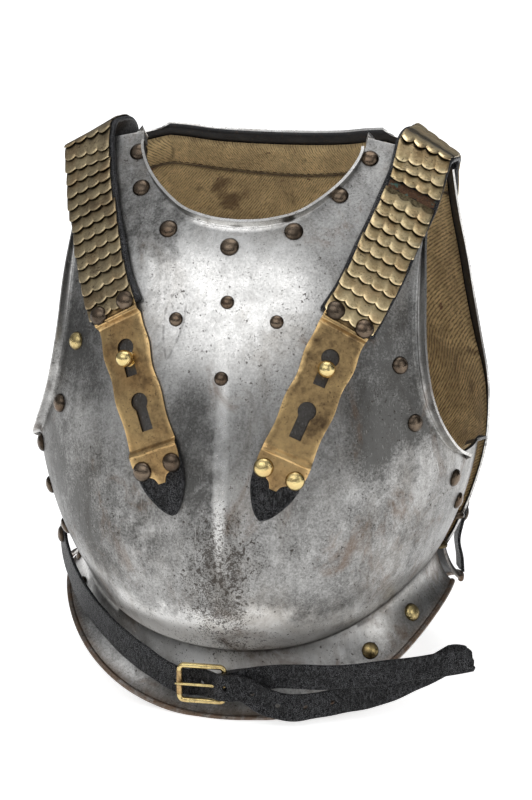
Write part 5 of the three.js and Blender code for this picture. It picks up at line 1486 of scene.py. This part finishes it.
def build_belt():
    """The long half of the belt, from the wearer's right hip through the buckle to its tip."""
    path = billet_path()
    shoulder = path.length - POINT_LENGTH
    stations = np.concatenate([np.linspace(0, shoulder, 150), np.linspace(shoulder, path.length, 14)[1:]])

    def half_width(d):
        wave = 0.3 * math.sin(d / 11) + 0.2 * math.sin(d / 4.3)
        if d <= shoulder:
            return BELT_WIDTH / 2 + wave
        share = (d - shoulder) / POINT_LENGTH
        return BELT_WIDTH * (0.5 + (POINT_SHARE - 0.5) * share**1.6)

    band = leather_band(path, stations, half_width, 0.0, BELT_THICKNESS, BELT_ROUNDING, 8)
    obj = mesh_object("belt_long_half", *band, materials=[TOOLS["leather"]], sharp=LEATHER_SHARP)
    d = np.linspace(0, path.length, 1201)
    at_bar = d[int(np.argmin(np.linalg.norm(path.frame(d)[0] - buckle_point(), axis=1)))]
    cutters = []
    for k in range(-1, BELT_HOLES):
        point, _, out, _ = path.frame(at_bar - BUCKLE_LENGTH / 2 + k * BELT_HOLE_PITCH)
        hole = tube([point - out * 3, point + out * 6], HOLE_RADIUS if k else PRONG_HOLE_RADIUS, 16)
        cutters.append(mesh_object("Hole cutter", *hole))
    cut(obj, *cutters)
    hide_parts("belt_billet", "belt_hip_tab")
    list(ends_round(path, HIP_TAB, 8))
    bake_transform(obj)


def build_chape():
    """The short half of the belt, folded round the buckle's bar, its far end torn."""
    path = upright_path([buckle_point(), *belt_points(CHAPE)])
    rng = np.random.default_rng(8)
    rings = []
    fold_length, fold_step, tears = 30, 1.6, 11
    for a in np.linspace(0.25, QUARTER, 7):
        thick = 2 * LOOP_RADIUS * math.sin(a)
        section = rounded_section(CHAPE_WIDTH / 2, thick, thick / 2)
        rings.append(path.place(-LOOP_RADIUS * math.cos(a), section[:, 0], section[:, 1] - thick / 2))
    for d in np.linspace(0.5, path.length, 90):
        wrap = 1 - float(smooth(d, 4, fold_length))
        step = fold_step * float(smooth(d, fold_length + 1.4, fold_length + 0.6)) if d > 4 else fold_step
        thick = BELT_THICKNESS + (2 * LOOP_RADIUS - BELT_THICKNESS - fold_step) * wrap + step
        torn = 5 * float(smooth(d, path.length - 7, path.length))
        section = rounded_section(CHAPE_WIDTH / 2 + 0.3 * math.sin(d / 9), thick, BELT_ROUNDING)
        bite = rng.normal(0, 0.5, tears) if d == path.length else np.zeros(tears)
        ragged = np.interp(section[:, 0], np.linspace(-12, 12, tears), bite)
        lean = torn * np.abs(np.sin(section[:, 0] * 0.45)) * 0.5
        lift = section[:, 1] - BELT_THICKNESS / 2 - (thick - BELT_THICKNESS) / 2
        rings.append(path.place(d - lean + ragged, section[:, 0], lift))
    obj = mesh_object("belt_short_half", *sweep(rings), materials=[TOOLS["leather"]], sharp=LEATHER_SHARP)
    settle(obj, "belt", "black_leather", "belt_chape")


def build_buckle():
    """The rectangular brass buckle, the worn sleeve on its far bar and its prong."""
    centre = buckle_point()
    half = BUCKLE_HEIGHT / 2 - BUCKLE_CORNER
    outline = []
    near, far = -BUCKLE_CORNER, -BUCKLE_LENGTH + BUCKLE_CORNER
    for quarter, (x, z) in enumerate(((near, half), (far, half), (far, -half), (near, -half))):
        for turn in (quarter + np.linspace(0, 1, 9)) * QUARTER:
            outline.append(centre + [x + BUCKLE_CORNER * math.cos(turn), 0, z + BUCKLE_CORNER * math.sin(turn)])
    points, faces = tube(outline, BUCKLE_BAR + 0.25, 16, closed=True)
    wire = mesh_object("buckle_wire", points, faces, {"edge": np.full(len(points), 0.35)}, [TOOLS["aged rivet"]])
    settle(wire, "belt", "aged_brass", "buckle_frame")
    heights = np.linspace(-half + 0.5, half - 0.5, 12)
    sleeve = tube([centre + [-BUCKLE_LENGTH, 0, z] for z in heights], SLEEVE_RADIUS, 16)
    settle(mesh_object("buckle_sleeve", *sleeve, materials=[TOOLS["sleeve"]]), "belt", "aged_brass")
    ring = BUCKLE_BAR + FIT_GAP + TONGUE_RADIUS
    eye = [centre + [ring * math.cos(a), -ring * math.sin(a), 0] for a in np.linspace(-0.7, 1, 12) * QUARTER]
    tip = centre + [-BUCKLE_LENGTH - TONGUE_RADIUS * 2, -ring, 0]
    shank = [eye[-1] + (tip - eye[-1]) * w for w in np.linspace(0.1, 1, 14)]
    width = np.concatenate([np.full(12, TONGUE_RADIUS), np.linspace(TONGUE_RADIUS, TONGUE_RADIUS * 0.8, 12),
                            [TONGUE_RADIUS * 0.7, TONGUE_RADIUS * 0.45]])
    points, faces = tube([*eye, *shank], width, 14)
    prong = mesh_object("buckle_prong", points, faces, {"edge": np.full(len(points), 0.2)}, [TOOLS["aged rivet"]])
    settle(prong, "tongue", "aged_brass", "buckle_tongue")


def build_stub():
    """The torn end of a lost strap, riveted to the backplate's side."""
    path = stub_path()
    rng = np.random.default_rng(3)
    rings = []
    for d in np.linspace(0, path.length, 24):
        section = rounded_section(STUB_WIDTH / 2, BELT_THICKNESS, BELT_ROUNDING)
        tear = 4.5 * float(smooth(d, path.length - 8, path.length))
        lean = tear * np.abs(np.sin(section[:, 0] * 0.35)) + (rng.normal(0, 0.4, len(section)) if tear > 3 else 0)
        rings.append(path.place(d - lean, section[:, 0], section[:, 1] + REST_GAP))
    obj = mesh_object("side_stub", *sweep(rings), materials=[TOOLS["leather"]], sharp=LEATHER_SHARP)
    settle(obj, "shell", "black_leather", "torn_stub")


def build_world():
    """White to the camera. The part mirrors and is lit by a plain studio: pale above, dim at the sides."""
    world = bpy.data.worlds.new("Studio")
    world.use_nodes = True
    world.node_tree.nodes.clear()
    n = Nodes(world.node_tree)
    rays = n.add("ShaderNodeLightPath").outputs
    way = n.split(n.add("ShaderNodeTexCoord").outputs["Generated"])
    sky = n.remap(way[2], -0.3, 0.9, 0.12, 0.74)
    front = n.remap(way[1], 0.5, -1.0, 0.55, 1.0)
    side = n.remap(way[0], -0.1, 0.9, 1.0, 0.45)
    level = n.times(n.times(sky, front), side)
    room = n.add("ShaderNodeBackground", {"Color": (0.95, 0.97, 1.0, 1), "Strength": level})
    white = n.add("ShaderNodeBackground", {"Color": (1, 1, 1, 1), "Strength": 1.0})
    mixed = n.add("ShaderNodeMixShader", {0: rays["Is Camera Ray"], 1: room.outputs[0], 2: white.outputs[0]})
    n.add("ShaderNodeOutputWorld", {"Surface": mixed.outputs[0]})
    bpy.context.scene.world = world


def aimed(name, data, place, target):
    """A new light or camera at a place, looking at a target."""
    obj = linked(name, data)
    obj.location = place
    obj.rotation_euler = (Vector(target) - Vector(place)).to_track_quat("-Z", "Y").to_euler()
    return obj


# The studio in metres: the floor's half size and depth under the part, and each light's place, size and watts.
FLOOR_REACH, FLOOR_DROP, AIM = 6.0, 0.0006, (0, 0, 0.25)
LIGHTS = {
    "Key": ((-0.35, -1.6, 1.65), (2.2, 1.2), 9.5),
    "Fill": ((1.9, -1.0, 0.9), (0.8, 1.6), 5),
    "Top": ((0.1, 0.3, 2.0), (1.6, 1.2), 11),
}
# The camera, matched to the photograph: angles in degrees, distance in metres, lens and sensor in millimetres.
AZIMUTH, ELEVATION, DISTANCE, LENS, SENSOR = 10.5, 15.5, 2.1, 114.35, 36.0
TARGET, SHIFT = (-3.24, 23.58, 220.0), (0.005, -0.005)


def build_stage():
    """White floor, soft lights and the camera."""
    mesh = bpy.data.meshes.new("floor")
    corners = [(x * FLOOR_REACH, y * FLOOR_REACH, 0) for x, y in ((-1, -1), (1, -1), (1, 1), (-1, 1))]
    mesh.from_pydata(corners, [], [(0, 1, 2, 3)])
    mesh.materials.append(TOOLS["floor"])
    floor = linked("floor", mesh)
    floor.location.z = -FLOOR_DROP
    bpy.context.scene.view_settings.view_transform = "Standard"
    build_world()
    for name, (place, size, power) in LIGHTS.items():
        light = bpy.data.lights.new(name, "AREA")
        light.shape = "RECTANGLE"
        light.size, light.size_y = size
        light.energy = power
        aimed(name, light, place, AIM)
    azimuth, elevation = math.radians(AZIMUTH), math.radians(ELEVATION)
    target = np.array(TARGET) * MM
    place = target + DISTANCE * np.array([math.sin(azimuth) * math.cos(elevation),
                                          -math.cos(azimuth) * math.cos(elevation), math.sin(elevation)])
    camera = bpy.data.cameras.new("Camera")
    camera.sensor_width, camera.lens = SENSOR, LENS
    camera.shift_x, camera.shift_y = SHIFT
    bpy.context.scene.camera = aimed("Camera", camera, place, target)


def size_property(name, description, default):
    return bpy.props.FloatProperty(name=name, description=description, default=default, min=0, unit="LENGTH",
                                   precision=4)


def colour_property(name, description, default):
    return bpy.props.FloatVectorProperty(name=name, description=description, default=default, min=0, max=1,
                                         subtype="COLOR", size=3)


class CuirassSizes(bpy.types.PropertyGroup):
    rivet_radius: size_property("Rivet radius", "Radius of the lining rivets' heads", 0.0072)
    rivet_height: size_property("Rivet height", "Height of the lining rivets' heads", 0.0043)
    hook_rivet_radius: size_property("Hook rivet radius", "Radius of the hook plates' rivets", 0.0076)
    scallop_depth: size_property("Scallop depth", "Depth of the notches along a scale's edge", 0.0026)
    lining_fold: size_property("Lining fold", "How far the slack lining stands off the plates", 0.004)
    stitch_length: size_property("Stitch length", "Length of one stitch of the linings", 0.0042)
    stitch_pitch: size_property("Stitch pitch", "Distance from stitch to stitch", 0.0058)


class CuirassColours(bpy.types.PropertyGroup):
    # Between bright and dark steel lie the painted highlights, reflection and dark reflections too.
    steel_bright: colour_property("Bright steel", "Steel where it is rubbed bright", (0.8, 0.79, 0.77))
    steel_dark: colour_property("Dark steel", "Steel under its grey patina", (0.125, 0.123, 0.118))
    rust: colour_property("Rust", "Brown rust stain", (0.16, 0.1, 0.062))
    paint: colour_property("Paint", "Black paint inside the plates", (0.012, 0.012, 0.013))
    brass: colour_property("Brass", "Hook plates where they are clean", (0.62, 0.43, 0.2))
    brass_tarnish: colour_property("Brass tarnish", "Hook plates' brown tarnish", (0.07, 0.045, 0.028))
    brass_bright: colour_property("Bright brass", "Studs and bright rivets", (0.7, 0.56, 0.26))
    scale_dark: colour_property("Right scales", "Right strap's scales, worn places", (0.6, 0.49, 0.3))
    scale_dark_tarnish: colour_property("Right scales' tarnish", "Their brown tarnish", (0.155, 0.12, 0.078))
    scale_pale: colour_property("Left scales", "Left strap's scales, worn places", (0.95, 0.78, 0.47))
    scale_pale_tarnish: colour_property("Left scales' tarnish", "Their brown tarnish", (0.34, 0.25, 0.125))
    bronze_bright: colour_property("Worn bronze", "Rivet heads where they are rubbed", (0.17, 0.13, 0.095))
    bronze: colour_property("Bronze", "Rivet heads' brown", (0.032, 0.025, 0.02))
    leather: colour_property("Leather", "Blackened leather", (0.007, 0.007, 0.008))
    leather_worn: colour_property("Worn leather", "Leather where it is scuffed", (0.17, 0.17, 0.18))
    torn: colour_property("Torn hide", "Raw hide where a scale is lost", (0.2, 0.1, 0.05))
    verdigris: colour_property("Verdigris", "Green salts of brass", (0.1, 0.22, 0.18))
    canvas: colour_property("Canvas", "The lining's twill", (1.0, 0.74, 0.37))
    canvas_dark: colour_property("Dark canvas", "The twill's shaded yarns and grime", (0.2, 0.125, 0.058))
    stain: colour_property("Stain", "Rust stains on the lining", (0.11, 0.055, 0.025))
    thread: colour_property("Thread", "The lining's stitches", (0.2, 0.14, 0.08))


class PieceOperator(bpy.types.Operator):
    """Builds one group of the cuirass's pieces"""
    bl_options = {"REGISTER", "UNDO"}

    def execute(self, context):
        self.build()
        return {"FINISHED"}


class CUIRASS_OT_materials(PieceOperator):
    """Makes the node groups and materials that all the pieces share"""
    bl_idname = "cuirass.materials"
    bl_label = "Materials"

    def build(self):
        prepare_materials()


class CUIRASS_OT_plates(PieceOperator):
    """Builds the steel breastplate and backplate with their turned edges and rolled rims"""
    bl_idname = "cuirass.plates"
    bl_label = "Plates"

    def build(self):
        build_plate("breastplate", BREAST)
        build_plate("backplate", BACK)


class CUIRASS_OT_plate_rivets(PieceOperator):
    """Sets the domed rivets on both plates"""
    bl_idname = "cuirass.plate_rivets"
    bl_label = "Plate rivets"

    def build(self):
        build_plate_rivets()


class CUIRASS_OT_linings(PieceOperator):
    """Builds the stitched canvas linings inside the plates"""
    bl_idname = "cuirass.linings"
    bl_label = "Linings"

    def build(self):
        build_lining("breast_lining", BREAST, 0.6)
        build_lining("back_lining", BACK, 1.4)


class SidedOperator(PieceOperator):
    """Builds pieces of one strap"""

    side: bpy.props.EnumProperty(name="Side", description="Which of the wearer's shoulders",
                                 items=[("right", "Right", "Wearer's right"), ("left", "Left", "Wearer's left")])

    def build(self):
        self.build_side(-1 if self.side == "right" else 1, self.side)


class CUIRASS_OT_strap_leather(SidedOperator):
    """Builds a shoulder strap's leather"""
    bl_idname = "cuirass.strap_leather"
    bl_label = "Strap leather"

    def build_side(self, side, word):
        build_strap_leather(side, word)


class CUIRASS_OT_scales(SidedOperator):
    """Lays the rows of scalloped scales on a shoulder strap"""
    bl_idname = "cuirass.scales"
    bl_label = "Scales"

    def build_side(self, side, word):
        build_scales(side, word)


class CUIRASS_OT_hook(SidedOperator):
    """Builds a strap's hook plate with its keyholes, rivets, stud and pull tab"""
    bl_idname = "cuirass.hook"
    bl_label = "Hook plate"

    def build_side(self, side, word):
        build_hook_plate(side, word)
        build_hook_rivets(side, word)
        build_pull_tab(side, word)


class CUIRASS_OT_belt(PieceOperator):
    """Builds both halves of the waist belt and the torn stub at the side"""
    bl_idname = "cuirass.belt"
    bl_label = "Belt"

    def build(self):
        build_belt()
        build_chape()
        build_stub()


class CUIRASS_OT_buckle(PieceOperator):
    """Builds the belt's buckle and prong"""
    bl_idname = "cuirass.buckle"
    bl_label = "Buckle"

    def build(self):
        build_buckle()


class CUIRASS_OT_stage(PieceOperator):
    """Sets the floor, the studio lights and the camera"""
    bl_idname = "cuirass.stage"
    bl_label = "Stage"

    def build(self):
        build_stage()


class CUIRASS_PT_panel(bpy.types.Panel):
    """Lists the sizes, the colours and the build steps"""
    bl_idname = "CUIRASS_PT_panel"
    bl_label = "Cuirass"
    bl_space_type = "VIEW_3D"
    bl_region_type = "UI"
    bl_category = "Cuirass"

    def draw(self, context):
        for group in (context.scene.cuirass_sizes, context.scene.cuirass_colours):
            box = self.layout.box()
            for key in group.__annotations__:
                box.prop(group, key)
        for step in STEPS:
            self.layout.operator(step.bl_idname)


STEPS = (CUIRASS_OT_materials, CUIRASS_OT_plates, CUIRASS_OT_plate_rivets, CUIRASS_OT_linings,
         CUIRASS_OT_strap_leather, CUIRASS_OT_scales, CUIRASS_OT_hook, CUIRASS_OT_belt, CUIRASS_OT_buckle,
         CUIRASS_OT_stage)
CLASSES = (CuirassSizes, CuirassColours, *STEPS, CUIRASS_PT_panel)


def register():
    for cls in CLASSES:
        bpy.utils.register_class(cls)
    bpy.types.Scene.cuirass_sizes = bpy.props.PointerProperty(type=CuirassSizes)
    bpy.types.Scene.cuirass_colours = bpy.props.PointerProperty(type=CuirassColours)


def unregister():
    del bpy.types.Scene.cuirass_sizes
    del bpy.types.Scene.cuirass_colours
    for cls in reversed(CLASSES):
        bpy.utils.unregister_class(cls)


def main():
    register()
    bpy.ops.cuirass.materials()
    bpy.ops.cuirass.plates()
    bpy.ops.cuirass.plate_rivets()
    bpy.ops.cuirass.linings()
    for side in ("right", "left"):
        bpy.ops.cuirass.strap_leather(side=side)
        bpy.ops.cuirass.scales(side=side)
        bpy.ops.cuirass.hook(side=side)
    bpy.ops.cuirass.belt()
    bpy.ops.cuirass.buckle()
    bpy.ops.cuirass.stage()


if __name__ == "__main__":
    main()
